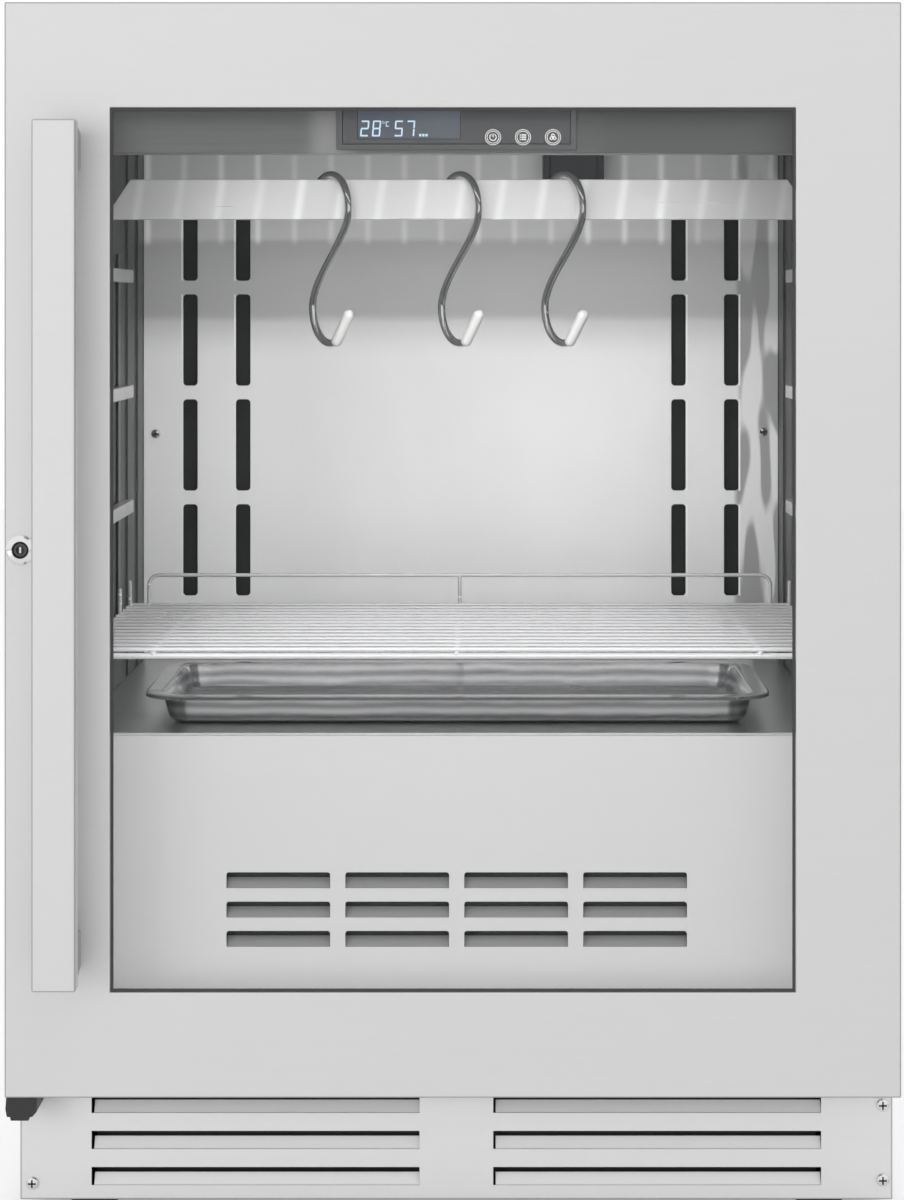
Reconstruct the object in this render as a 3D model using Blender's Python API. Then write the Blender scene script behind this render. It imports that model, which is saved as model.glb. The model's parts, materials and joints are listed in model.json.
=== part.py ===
"""Undercounter dry aging cabinet with a glazed door, hanging rail, wire shelf and drip tray.

Metres, +Z up, the door faces -Y. The origin is under the middle of the cabinet, on the floor.
Depths are measured from the front face of the door towards the back.
"""
import math

import bmesh
import bpy
from mathutils import Matrix, Vector

# Clearances and mesh counts shared by all pieces
GAP = 0.0003
OVERRUN = 0.004
MERGE = 0.00001
ROUND_STEPS = 20
SMALL_STEPS = 10
TUBE_RESOLUTION = 2

# Overall stack of heights
FOOT_HEIGHT = 0.013
PLINTH_HEIGHT = 0.077
DOOR_GAP = 0.003
DOOR_HEIGHT = 0.727

# Overall stack of depths
HANDLE_REACH = 0.040
DOOR_THICKNESS = 0.034
GASKET_SPACE = 0.004
BODY_DEPTH = 0.530
REAR_SPACE = 0.004

# Door
DOOR_WIDTH = 0.595
STILE_WIDTH = 0.070
FRAME_DEPTH = 0.0232
FRAME_LIP = 0.0022
REBATE_WIDTH = 0.015
INNER_FRAME_INSET = 0.0045
SEAL_WIDTH = 0.0018
GLASS_THICKNESS = 0.004
GLASS_SPACER_DEPTH = 0.012
GLASS_SPACER_WIDTH = 0.009
GASKET_INSET = 0.016
GASKET_WIDTH = 0.0115

# Door handle
HANDLE_WIDTH = 0.0287
HANDLE_LENGTH = 0.5665
HANDLE_THICKNESS = 0.012
HANDLE_EDGE = 0.0015
HANDLE_INSET = 0.03885
STANDOFF_HEIGHT = 0.036
STANDOFF_TAPER = 0.005
STANDOFF_SIDE_TAPER = 0.001

# Hinges
PIVOT_INSET = 0.012
PIVOT_DEPTH = 0.014
HINGE_PLATE = 0.0027
HINGE_ARM_LEFT = 0.009
HINGE_ARM_RIGHT = 0.005
HINGE_ARM_FRONT = 0.0065
HINGE_TOP_TAIL = 0.060
HINGE_BOTTOM_TAIL = 0.022
HINGE_BOTTOM_PLATE = 0.0024
PIN_RADIUS = 0.003
PIN_LENGTH = 0.009
BUSH_WALL = 0.0018
BUSH_HEIGHT = 0.007
RECESS_FRONT = 0.0035
RECESS_LEFT = 0.0135
RECESS_CLEARANCE = 0.0007

# Lock
LOCK_INSET = 0.0107
LOCK_RING_RADIUS = 0.0098
LOCK_RING_PROUD = 0.0018
LOCK_BARREL_RADIUS = 0.0062
LOCK_CYLINDER_RADIUS = 0.0046
LOCK_CYLINDER_PROUD = 0.0012
LOCK_CAM_GAP = 0.001
LOCK_CAM_THICKNESS = 0.0018
LOCK_CAM_LENGTH = 0.010
LOCK_CAM_HALF_WIDTH = 0.0035
KEEPER_PLATE = 0.0027
KEEPER_FRONT = 0.030
KEEPER_LENGTH = 0.032
KEEPER_HALF_HEIGHT = 0.015
KEEPER_SLOT_BELOW = 0.0088
KEEPER_SLOT_ABOVE = 0.005

# Cabinet body, flush with the door at the hinges and drawn in under it at the lock
LOCK_SIDE_OVERHANG = 0.004
SHELL_SHEET = 0.001
SHELL_RETURN = 0.015
FRONT_FRAME_SHEET = 0.001
BASE_SHEET = 0.0015
REAR_SHEET = 0.001
LINER_SHEET = 0.0008
SIDE_WALL = 0.0305
CEILING_WALL = 0.0567
WELL_RISE = 0.032
STEP_HEIGHT = 0.175
STEP_TO_BACK = 0.256
REAR_WALL = 0.036
FOAM_UNDER = 0.030
BAY_UNDER_STEP = 0.010
BAY_VENT_WIDTH = 0.120
BAY_VENT_HEIGHT = 0.006
BAY_VENT_PITCH = 0.018
BAY_VENT_GAP = 0.020
BAY_VENT_ROWS = 6
BAY_VENT_COLUMNS = 3

# Plinth
PLINTH_SHEET = 0.001
PLINTH_RETURN = 0.012
PLINTH_SLOT_END = 0.0483
PLINTH_SLOT_BRIDGE = 0.050
PLINTH_SLOT_HEIGHT = 0.0122
PLINTH_SLOT_PITCH = 0.0245
PLINTH_SLOT_LOW = 0.0095
PLINTH_SLOT_ROWS = 3
DOOR_REST_WIDTH = 0.022
DOOR_REST_HEIGHT = 0.020
DOOR_REST_STEP = 0.006
DOOR_REST_FRONT = 0.003

# Feet
FOOT_RADIUS = 0.019
FOOT_PAD = 0.007
FOOT_NUT_RADIUS = 0.008
FOOT_INSET = 0.045

# Control panel in the head of the chamber
FASCIA_DEPTH = 0.044
FASCIA_SHEET = 0.0012
FASCIA_HEIGHT = 0.0378
FASCIA_RETURN = 0.022
MODULE_WIDTH = 0.163
MODULE_RISE = 0.0021
MODULE_HEIGHT = 0.0335
MODULE_PROUD = 0.0015
MODULE_BEZEL = 0.004
MODULE_DEPTH = 0.018
LENS_SHEET = 0.0008
DISPLAY_LEFT = 0.0145
DISPLAY_WIDTH = 0.0695
DISPLAY_RISE = 0.0078
DISPLAY_BORDER = 0.001
LAMP_DEPTH = 0.080
LAMP_WIDTH = 0.400
LAMP_HEIGHT = 0.008
LAMP_BREADTH = 0.016
SENSOR_LEFT = 0.068
SENSOR_WIDTH = 0.050
SENSOR_HEIGHT = 0.045
SENSOR_BREADTH = 0.032
SENSOR_BORDER = 0.0055
SENSOR_RECESS = 0.003
SENSOR_TOP_BORDER = 0.012

# Back panel of the chamber, an air duct cover
DUCT_DEPTH = 0.038
BACK_PANEL_SHEET = 0.001
BACK_SLOT_WIDTH = 0.012
BACK_SLOT_HEIGHT = 0.0762
BACK_SLOT_PITCH = 0.0876
BACK_SLOT_RISE = 0.0532
BACK_SLOT_CORNER = 0.002
BACK_SLOT_FROM_WALL = 0.0393
BACK_SLOT_SPACE = 0.044

# Evaporator and condenser
FIN_COUNT = 12
FIN_SHARE = 0.45
FIN_CUT_SHARE = 0.7
EVAPORATOR_WIDTH = 0.300
EVAPORATOR_DEPTH = 0.030
EVAPORATOR_RISE = 0.0567
EVAPORATOR_TOP_SPACE = 0.064
CONDENSER_LEFT = 0.050
CONDENSER_SIDE_SPACE = 0.0455
CONDENSER_HEIGHT = 0.130
CONDENSER_DEPTH = 0.045
CONDENSER_SPACE = 0.030

# Fans
CHAMBER_FAN_SIZE = 0.092
CHAMBER_FAN_DROP = 0.120
MACHINE_FAN_SIZE = 0.120
MACHINE_FAN_SPACE = 0.004
FAN_THICKNESS = 0.025
FAN_BORE_CLEARANCE = 0.004
FAN_TIP_CLEARANCE = 0.002
FAN_HUB_SHARE = 0.2
FAN_CHORD_SHARE = 0.85
FAN_ROTOR_THICKNESS = 0.014
FAN_BOSS_THICKNESS = 0.006
FAN_STRUT_WIDTH = 0.005
FAN_STRUTS = 3
FAN_BLADES = 5
FAN_BLADE_SHEET = 0.0015
FAN_BLADE_PITCH = math.radians(38)

# Machine bay
COMPRESSOR_RADIUS = 0.058
COMPRESSOR_HEIGHT = 0.160
COMPRESSOR_FROM_SIDE = 0.1755
COMPRESSOR_FROM_BACK = 0.101
COMPRESSOR_PLATE = 0.003
COMPRESSOR_PLATE_HALF = 0.080
COMPRESSOR_TOP_RADIUS = 0.018
COMPRESSOR_SHOULDER = 0.030
PIPE_RADIUS = 0.003
PIPE_BEND = 0.018
PIPE_RISE = 0.030
POWER_BOX_WIDTH = 0.070
POWER_BOX_LENGTH = 0.060
POWER_BOX_HEIGHT = 0.100
POWER_BOX_GAP = 0.010
INLET_RADIUS = 0.014
INLET_BORE = 0.0045
INLET_RISE = 0.062
INLET_FROM_SIDE = 0.0655
INLET_DEEP = 0.008

# Lower chamber: vented panel and floor
LOWER_PANEL_DEPTH = 0.060
LOWER_PANEL_SHEET = 0.001
FLOOR_RISE = 0.0233
FLOOR_SHEET = 0.0012
LOWER_RETURN = 0.012
VENT_WIDTH = 0.0712
VENT_HEIGHT = 0.011
VENT_COLUMN_PITCH = 0.0816
VENT_ROW_PITCH = 0.0201
VENT_RISE = 0.0536
VENT_ROWS = 3
VENT_COLUMNS = 4

# Shelf supports on the side walls
SUPPORT_POST = 0.012
SUPPORT_SHEET = 0.0015
LEDGE_REACH = 0.009
LEDGE_HEIGHT = 0.010
LEDGE_FRONT = 0.070
LEDGE_LENGTH = 0.250
LEDGE_RISE = 0.0432
LEDGE_GAP = 0.080
POST_INSET = 0.020
POST_REACH = 0.012

# Wire shelf
SHELF_FRONT = 0.065
SHELF_LENGTH = 0.270
SHELF_WIRE = 0.0015
SHELF_FRAME_WIRE = 0.0022
SHELF_WIRES = 15
SHELF_WELD = 0.0006
SHELF_CROSS_INSET = 0.0514
SHELF_FRONT_DROP = 0.0015
WIRE_SIDES = 8
BEND_STEPS = 4
GUARD_HEIGHT = 0.0235
GUARD_INSET = 0.0149
GUARD_BEND = 0.008
UPRIGHT_HEIGHT = 0.018
UPRIGHT_SPACE = 0.060

# Hanging rail
RAIL_DEPTH = 0.255
RAIL_SHEET = 0.0015
RAIL_DROP = 0.076
RAIL_HEIGHT = 0.0304
RAIL_LIP = 0.010
RAIL_CORNER_CUT = 0.015
RAIL_END_HEIGHT = 0.008
RAIL_END_LENGTH = 0.014

# Meat hooks
HOOK_WIRE = 0.003
HOOK_HALF_WIDTH = 0.018
HOOK_TOP_RISE = 0.0255
HOOK_BOTTOM_DROP = 0.027
HOOK_HEIGHT = 0.134
HOOK_TURN = math.radians(38)
HOOK_SEAT = 0.0005
HOOK_STEPS = 8
HOOK_TIP_RADIUS = 0.0042
HOOK_TIP_SPACE = 0.001
HOOK_TIP_ARC = math.radians(62)
HOOK_LEFT_OFFSET = 0.0976
HOOK_MIDDLE_OFFSET = 0.0008
HOOK_RIGHT_OFFSET = 0.0797

# Drip tray
TRAY_FRONT = 0.095
TRAY_SIDE_SPACE = 0.043
TRAY_LENGTH = 0.190
TRAY_HEIGHT = 0.0215
TRAY_RIM = 0.012
TRAY_DRAFT = 0.006
TRAY_SHEET = 0.001
TRAY_CORNER = 0.024
TRAY_CORNER_STEPS = 4

# Places worked out from the sizes above
HALF_DEPTH = (HANDLE_REACH + BODY_DEPTH) / 2
FRONT_Y = HANDLE_REACH - HALF_DEPTH
PLINTH_TOP = FOOT_HEIGHT + PLINTH_HEIGHT
DOOR_BOTTOM = PLINTH_TOP + DOOR_GAP
DOOR_TOP = DOOR_BOTTOM + DOOR_HEIGHT
DOOR_MIDDLE = (DOOR_BOTTOM + DOOR_TOP) / 2
DOOR_HALF_WIDTH = DOOR_WIDTH / 2
CABINET_TOP = DOOR_TOP - HINGE_PLATE - GAP * 2
CABINET_HALF = (DOOR_WIDTH - LOCK_SIDE_OVERHANG) / 2
CABINET_SHIFT = LOCK_SIDE_OVERHANG / 2
CHAMBER_HALF = CABINET_HALF - SIDE_WALL
CHAMBER_TOP = CABINET_TOP - CEILING_WALL
CABINET_FRONT = DOOR_THICKNESS + GASKET_SPACE
SHELL_FRONT = CABINET_FRONT + FRONT_FRAME_SHEET + GAP
SHELL_BACK = BODY_DEPTH - REAR_SPACE
LINER_BACK = SHELL_BACK - REAR_WALL
BACK_PANEL_DEPTH = LINER_BACK - DUCT_DEPTH
WELL_FLOOR = DOOR_BOTTOM + WELL_RISE
STEP_TOP = WELL_FLOOR + STEP_HEIGHT
STEP_FRONT = SHELL_BACK - STEP_TO_BACK
MACHINE_BAY_TOP = STEP_TOP - BAY_UNDER_STEP
FLOOR_TOP = STEP_TOP + FLOOR_RISE
BASE_TOP = FOOT_HEIGHT + GAP + BASE_SHEET
PIVOT_X = DOOR_HALF_WIDTH - PIVOT_INSET
LOCK_X = -DOOR_HALF_WIDTH + LOCK_INSET
HANDLE_X = -DOOR_HALF_WIDTH + HANDLE_INSET
BAY_FLOOR = BASE_TOP + GAP
FASCIA_BOTTOM = CHAMBER_TOP - FASCIA_HEIGHT
MODULE_BOTTOM = FASCIA_BOTTOM + MODULE_RISE
MODULE_TOP = MODULE_BOTTOM + MODULE_HEIGHT
RAIL_BOTTOM = CHAMBER_TOP - RAIL_DROP
RAIL_TOP = RAIL_BOTTOM + RAIL_HEIGHT
BACK_SLOT_LOW = FLOOR_TOP + BACK_SLOT_RISE
BACK_SLOT_ROWS = int((CHAMBER_TOP - BACK_SLOT_LOW) / BACK_SLOT_PITCH)
BACK_SLOT_OUTER = CHAMBER_HALF - BACK_SLOT_FROM_WALL
BACK_SLOT_INNER = BACK_SLOT_OUTER - BACK_SLOT_SPACE
LEDGE_LOW = FLOOR_TOP + LEDGE_RISE
LEDGE_PITCH = LEDGE_HEIGHT + LEDGE_GAP
LEDGE_COUNT = int((RAIL_BOTTOM - LEDGE_LOW) / LEDGE_PITCH) + 1
HOOK_PLACES = (-HOOK_LEFT_OFFSET, HOOK_MIDDLE_OFFSET, HOOK_RIGHT_OFFSET)
CONDENSER_RIGHT = CABINET_HALF - CONDENSER_SIDE_SPACE
CONDENSER_MIDDLE = (CONDENSER_LEFT + CONDENSER_RIGHT) / 2
CONDENSER_FRONT = STEP_FRONT + FOAM_UNDER + CONDENSER_SPACE
SHELF_HALF = CHAMBER_HALF - GAP * 3 - SUPPORT_SHEET - SHELF_FRAME_WIRE
CROSS_Z = LEDGE_LOW + LEDGE_HEIGHT + GAP + SHELF_FRAME_WIRE
SHELF_Z = CROSS_Z + SHELF_FRAME_WIRE + SHELF_WIRE - SHELF_WELD


def depth_y(depth):
    """World Y of a depth behind the front face of the door."""
    return FRONT_Y + depth


def side_x(offset):
    """World X of an offset from the middle of the cabinet body."""
    return CABINET_SHIFT + offset


# Modelling helpers

def finish_look(name, colour, roughness, metallic):
    """A Principled material with one colour."""
    look = bpy.data.materials.get(name)
    if look is None:
        look = bpy.data.materials.new(name)
        look.use_nodes = True
        shader = look.node_tree.nodes["Principled BSDF"]
        shader.inputs["Base Color"].default_value = (*colour, 1.0)
        shader.inputs["Roughness"].default_value = roughness
        shader.inputs["Metallic"].default_value = metallic
        look.diffuse_color = (*colour, 1.0)
    return look


LOOKS = {
    "door_steel": ((0.70, 0.70, 0.70), 0.40, 0.6),
    "brushed_steel": ((0.62, 0.62, 0.62), 0.30, 1.0),
    "dark_steel": ((0.20, 0.20, 0.20), 0.35, 1.0),
    "chrome": ((0.80, 0.80, 0.82), 0.08, 1.0),
    "black_plastic": ((0.02, 0.02, 0.02), 0.45, 0.0),
    "dark_lens": ((0.03, 0.03, 0.035), 0.10, 0.0),
    "display": ((0.10, 0.13, 0.20), 0.15, 0.0),
    "rubber": ((0.05, 0.05, 0.05), 0.80, 0.0),
    "glass": ((0.85, 0.90, 0.90), 0.02, 0.0),
    "white_plastic": ((0.85, 0.85, 0.85), 0.40, 0.0),
    "foam": ((0.80, 0.72, 0.50), 0.90, 0.0),
    "aluminium": ((0.75, 0.75, 0.76), 0.35, 1.0),
    "black_paint": ((0.03, 0.03, 0.03), 0.50, 0.0),
    "copper": ((0.72, 0.40, 0.25), 0.30, 1.0),
}


def add_object(name, solid, look=None, parent=None):
    """Turn a bmesh into a named object, seated on its parent empty's place."""
    mesh = bpy.data.meshes.new(name)
    solid.to_mesh(mesh)
    solid.free()
    item = bpy.data.objects.new(name, mesh)
    bpy.context.scene.collection.objects.link(item)
    if look is not None:
        mesh.materials.append(finish_look(look, *LOOKS[look]))
    if parent is not None:
        mesh.transform(Matrix.Translation(-parent.location))
        item.parent = parent
    return item


def add_empty(name, place):
    """An empty that carries moving pieces and stands on their joint's axis."""
    empty = bpy.data.objects.new(name, None)
    empty.location = place
    bpy.context.scene.collection.objects.link(empty)
    return empty


def boolean(item, label, solid, operation="DIFFERENCE"):
    """Cut or join a hidden solid, kept as its own wire object."""
    tool = add_object(item.name + "_" + label, solid, parent=item.parent)
    tool.hide_render = True
    tool.display_type = "WIRE"
    modifier = item.modifiers.new(label, "BOOLEAN")
    modifier.operation = operation
    modifier.object = tool
    modifier.solver = "EXACT"
    return item


def smooth(item, angle=math.radians(35)):
    """Round pieces are shaded smooth up to a sharp edge."""
    item.data.shade_smooth()
    item.data.set_sharp_from_angle(angle=angle)
    return item


def block(x, y, z):
    """A box from three pairs of limits."""
    solid = bmesh.new()
    bmesh.ops.create_cube(solid, size=1)
    limits = [sorted(pair) for pair in (x, y, z)]
    size = [high - low for low, high in limits]
    middle = [(low + high) / 2 for low, high in limits]
    bmesh.ops.scale(solid, vec=size, verts=solid.verts)
    bmesh.ops.translate(solid, vec=middle, verts=solid.verts)
    return solid


def gather(solids):
    """Several separate solids in one bmesh, for a cutter or a joined piece."""
    group = bmesh.new()
    for solid in solids:
        mesh = bpy.data.meshes.new("gathered")
        solid.to_mesh(mesh)
        solid.free()
        group.from_mesh(mesh)
        bpy.data.meshes.remove(mesh)
    return group


def aim(solid, direction, place):
    """Turn a solid's +Z to a direction and move its origin to a place."""
    turn = Vector((0, 0, 1)).rotation_difference(Vector(direction)).to_matrix()
    bmesh.ops.rotate(solid, cent=(0, 0, 0), matrix=turn, verts=solid.verts)
    bmesh.ops.translate(solid, vec=place, verts=solid.verts)
    return solid


def rod(start, end, radius, steps=ROUND_STEPS):
    """A round bar between two points."""
    run = Vector(end) - Vector(start)
    solid = bmesh.new()
    bmesh.ops.create_cone(solid, cap_ends=True, segments=steps, radius1=radius,
                          radius2=radius, depth=run.length)
    return aim(solid, run.normalized(), Vector(start) + run / 2)


def turned(profile, place, direction=(0, 0, 1), steps=ROUND_STEPS):
    """Spin a profile of (radius, height) pairs around a direction."""
    solid = bmesh.new()
    verts = [solid.verts.new((radius, 0, height)) for radius, height in profile]
    edges = [solid.edges.new(pair) for pair in zip(verts, verts[1:])]
    bmesh.ops.spin(solid, geom=verts + edges, cent=(0, 0, 0), axis=(0, 0, 1),
                   angle=math.tau, steps=steps, use_merge=True)
    bmesh.ops.remove_doubles(solid, verts=solid.verts, dist=MERGE)
    bmesh.ops.recalc_face_normals(solid, faces=solid.faces)
    return aim(solid, direction, place)


def washer(inner, outer, length, place, direction, steps=ROUND_STEPS):
    """A round tube wall with square ends, starting at its place."""
    profile = [(inner, 0), (outer, 0), (outer, length), (inner, length), (inner, 0)]
    return turned(profile, place, direction, steps)


def loft(rings, closed=False):
    """Extrude a loop of points through the next ones; a closed loft comes back to its first loop."""
    solid = bmesh.new()
    first = [solid.verts.new(point) for point in rings[0]]
    start = [solid.edges.new(pair) for pair in zip(first, first[1:] + first[:1])]
    verts, edges = first, start
    for ring in rings[1:] + (rings[:1] if closed else []):
        grown = bmesh.ops.extrude_edge_only(solid, edges=edges)["geom"]
        fresh = {tuple(item.co): item for item in grown if isinstance(item, bmesh.types.BMVert)}
        verts = [fresh[tuple(vert.co)] for vert in verts]
        edges = [solid.edges.get(pair) for pair in zip(verts, verts[1:] + verts[:1])]
        for vert, point in zip(verts, ring):
            vert.co = point
    if closed:
        bmesh.ops.remove_doubles(solid, verts=solid.verts, dist=MERGE)
    else:
        for end in (start, edges):
            bmesh.ops.contextual_create(solid, geom=end)
    bmesh.ops.recalc_face_normals(solid, faces=solid.faces)
    return solid


def prism(outline, low, high, axis):
    """Extrude an outline along an axis: X takes (y, z) points, Y (x, z), Z (x, y)."""
    at = {"X": lambda a, b, c: (c, a, b), "Y": lambda a, b, c: (a, c, b), "Z": lambda a, b, c: (a, b, c)}
    rings = [[at[axis](a, b, level) for a, b in outline] for level in (low, high)]
    return loft(rings)


def upright_loop(half_width, low, high, depth, middle=0):
    """Four corners of an upright rectangle at a depth behind the door's face."""
    y = depth_y(depth)
    left, right = middle - half_width, middle + half_width
    return [(left, y, low), (right, y, low), (right, y, high), (left, y, high)]


def rounded_outline(half_width, half_length, radius, steps):
    """A rectangle with rounded corners, as points around the origin."""
    points = []
    for turn, (side, end) in enumerate(((1, 1), (-1, 1), (-1, -1), (1, -1))):
        for step in range(steps + 1):
            angle = math.pi / 2 * (turn + step / steps)
            points.append((side * (half_width - radius) + radius * math.cos(angle),
                           end * (half_length - radius) + radius * math.sin(angle)))
    return points


def tube(points, radius, resolution):
    """A round wire along points, from a bevelled curve with filled caps."""
    curve = bpy.data.curves.new("wire", "CURVE")
    curve.dimensions = "3D"
    curve.bevel_depth = radius
    curve.bevel_resolution = resolution
    curve.use_fill_caps = True
    spline = curve.splines.new("POLY")
    spline.points.add(len(points) - 1)
    for knot, point in zip(spline.points, points):
        knot.co = (*point, 1)
    holder = bpy.data.objects.new("wire", curve)
    bpy.context.scene.collection.objects.link(holder)
    bpy.context.view_layer.update()
    mesh = bpy.data.meshes.new_from_object(holder.evaluated_get(bpy.context.evaluated_depsgraph_get()))
    bpy.data.objects.remove(holder)
    bpy.data.curves.remove(curve)
    solid = bmesh.new()
    solid.from_mesh(mesh)
    bpy.data.meshes.remove(mesh)
    bmesh.ops.remove_doubles(solid, verts=solid.verts, dist=MERGE)
    bmesh.ops.recalc_face_normals(solid, faces=solid.faces)
    return solid


def arc(centre, start, end, first, last, steps):
    """Points on an ellipse between two angles, in two directions from its centre."""
    points = []
    for step in range(steps + 1):
        angle = first + (last - first) * step / steps
        points.append(Vector(centre) + Vector(start) * math.cos(angle) + Vector(end) * math.sin(angle))
    return points


# Door pieces, all carried by the hinge pivot

def door_limits(inset):
    """Half width, bottom and top of the door drawn in by an inset."""
    return DOOR_HALF_WIDTH - inset, DOOR_BOTTOM + inset, DOOR_TOP - inset


def door_ring(inner_inset, outer_inset, front, back):
    """A rectangular ring with a plain section, set in from the door's edge."""
    corners = ((outer_inset, front), (outer_inset, back), (inner_inset, back), (inner_inset, front))
    return loft([upright_loop(*door_limits(inset), depth) for inset, depth in corners], closed=True)


def make_door_frame(door):
    rebate = STILE_WIDTH - REBATE_WIDTH
    corners = ((0, 0), (0, FRAME_DEPTH), (rebate, FRAME_DEPTH), (rebate, FRAME_LIP),
               (STILE_WIDTH, FRAME_LIP), (STILE_WIDTH, 0))
    rings = [upright_loop(*door_limits(inset), depth) for inset, depth in corners]
    frame = add_object("door_frame", loft(rings, closed=True), "door_steel", door)
    bush_radius = PIN_RADIUS + GAP + BUSH_WALL + GAP
    pivot_y = depth_y(PIVOT_DEPTH)
    recess_floor = CABINET_TOP + GAP - RECESS_CLEARANCE
    recess = block((PIVOT_X - RECESS_LEFT, DOOR_HALF_WIDTH + OVERRUN),
                   (depth_y(RECESS_FRONT), depth_y(FRAME_DEPTH) + OVERRUN),
                   (recess_floor, DOOR_TOP + OVERRUN))
    boolean(frame, "hinge_recess", recess)
    reach = BUSH_HEIGHT + PIN_LENGTH
    pins = ((recess_floor + OVERRUN, recess_floor - reach), (DOOR_BOTTOM - OVERRUN, DOOR_BOTTOM + reach))
    bores = [rod((PIVOT_X, pivot_y, start), (PIVOT_X, pivot_y, end), bush_radius) for start, end in pins]
    bores.append(rod((LOCK_X, depth_y(-OVERRUN), DOOR_MIDDLE),
                     (LOCK_X, depth_y(FRAME_DEPTH + OVERRUN), DOOR_MIDDLE), LOCK_BARREL_RADIUS + GAP))
    boolean(frame, "bores", gather(bores))


def make_inner_frame(door):
    start = FRAME_DEPTH + GAP
    ring = door_ring(STILE_WIDTH, INNER_FRAME_INSET, start, DOOR_THICKNESS)
    frame = add_object("inner_door_frame", ring, "black_plastic", door)
    bore = rod((LOCK_X, depth_y(start - OVERRUN), DOOR_MIDDLE),
               (LOCK_X, depth_y(DOOR_THICKNESS + OVERRUN), DOOR_MIDDLE), LOCK_BARREL_RADIUS + GAP)
    boolean(frame, "lock_bore", bore)


def make_glazing(door):
    seal = door_ring(STILE_WIDTH + GAP + SEAL_WIDTH, STILE_WIDTH + GAP, GAP, FRAME_LIP)
    add_object("glazing_seal", seal, "rubber", door)
    pane_inset = STILE_WIDTH - REBATE_WIDTH + GAP
    half, low, high = door_limits(pane_inset)
    outer_front = FRAME_LIP + GAP
    spacer_front = outer_front + GLASS_THICKNESS + GAP
    inner_front = spacer_front + GLASS_SPACER_DEPTH + GAP
    for name, front in (("outer_pane", outer_front), ("inner_pane", inner_front)):
        pane = block((-half, half), (depth_y(front), depth_y(front + GLASS_THICKNESS)), (low, high))
        add_object(name, pane, "glass", door)
    spacer = door_ring(pane_inset + GLASS_SPACER_WIDTH, pane_inset, spacer_front,
                       spacer_front + GLASS_SPACER_DEPTH)
    add_object("pane_spacer", spacer, "aluminium", door)


def make_gasket(door):
    gasket = door_ring(GASKET_INSET + GASKET_WIDTH, GASKET_INSET, DOOR_THICKNESS + GAP,
                       CABINET_FRONT - GAP)
    add_object("door_gasket", gasket, "rubber", door)


def make_handle(door):
    half, reach = HANDLE_WIDTH / 2, HANDLE_LENGTH / 2
    front, back = -HANDLE_REACH, -HANDLE_REACH + HANDLE_THICKNESS
    loops = ((HANDLE_EDGE, front), (0, front + HANDLE_EDGE), (0, back - HANDLE_EDGE), (HANDLE_EDGE, back))
    ends = (DOOR_MIDDLE - reach, DOOR_MIDDLE + reach)
    rings = [upright_loop(half - edge, ends[0] + edge, ends[1] - edge, depth, HANDLE_X)
             for edge, depth in loops]
    add_object("handle_bar", loft(rings), "door_steel", door)
    for name, end in (("handle_standoff_bottom", -1), ("handle_standoff_top", 1)):
        rings = []
        for depth, taper, side in ((back + GAP, 0, 0), (-GAP, STANDOFF_TAPER, STANDOFF_SIDE_TAPER)):
            outer = DOOR_MIDDLE + end * (reach - taper - HANDLE_EDGE)
            inner = DOOR_MIDDLE + end * (reach - STANDOFF_HEIGHT + taper)
            low, high = min(inner, outer), max(inner, outer)
            rings.append(upright_loop(half - HANDLE_EDGE - side, low, high, depth, HANDLE_X))
        add_object(name, loft(rings), "door_steel", door)


def make_bushes(door):
    recess_floor = CABINET_TOP + GAP - RECESS_CLEARANCE
    inner, outer = PIN_RADIUS + GAP, PIN_RADIUS + GAP + BUSH_WALL
    pivot_y = depth_y(PIVOT_DEPTH)
    places = {"hinge_bush_top": recess_floor - BUSH_HEIGHT, "hinge_bush_bottom": DOOR_BOTTOM}
    for name, low in places.items():
        bush = washer(inner, outer, BUSH_HEIGHT, (PIVOT_X, pivot_y, low), (0, 0, 1), SMALL_STEPS)
        smooth(add_object(name, bush, "white_plastic", door))


def make_lock(door, lock):
    front = -LOCK_RING_PROUD - GAP
    bore = LOCK_CYLINDER_RADIUS + GAP
    back = DOOR_THICKNESS
    ring, barrel = LOCK_RING_RADIUS, LOCK_BARREL_RADIUS
    profile = [(bore, front), (ring, front), (ring, -GAP), (barrel, -GAP), (barrel, back), (bore, back),
               (bore, front)]
    place = (LOCK_X, depth_y(0), DOOR_MIDDLE)
    smooth(add_object("lock_barrel", turned(profile, place, (0, 1, 0)), "chrome", door))
    cam_front = DOOR_THICKNESS + LOCK_CAM_GAP
    cam_back = cam_front + LOCK_CAM_THICKNESS
    plug = rod((LOCK_X, depth_y(-LOCK_CYLINDER_PROUD), DOOR_MIDDLE),
               (LOCK_X, depth_y(cam_front + LOCK_CAM_THICKNESS / 2), DOOR_MIDDLE), LOCK_CYLINDER_RADIUS)
    cam = block((LOCK_X - LOCK_CAM_HALF_WIDTH, LOCK_X + LOCK_CAM_HALF_WIDTH),
                (depth_y(cam_front), depth_y(cam_back)),
                (DOOR_MIDDLE - LOCK_CAM_LENGTH, DOOR_MIDDLE + LOCK_CAM_HALF_WIDTH))
    cylinder = add_object("lock_cylinder", plug, "chrome", lock)
    boolean(cylinder, "cam", cam, "UNION")


# Hinges and keeper, fixed to the cabinet

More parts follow.
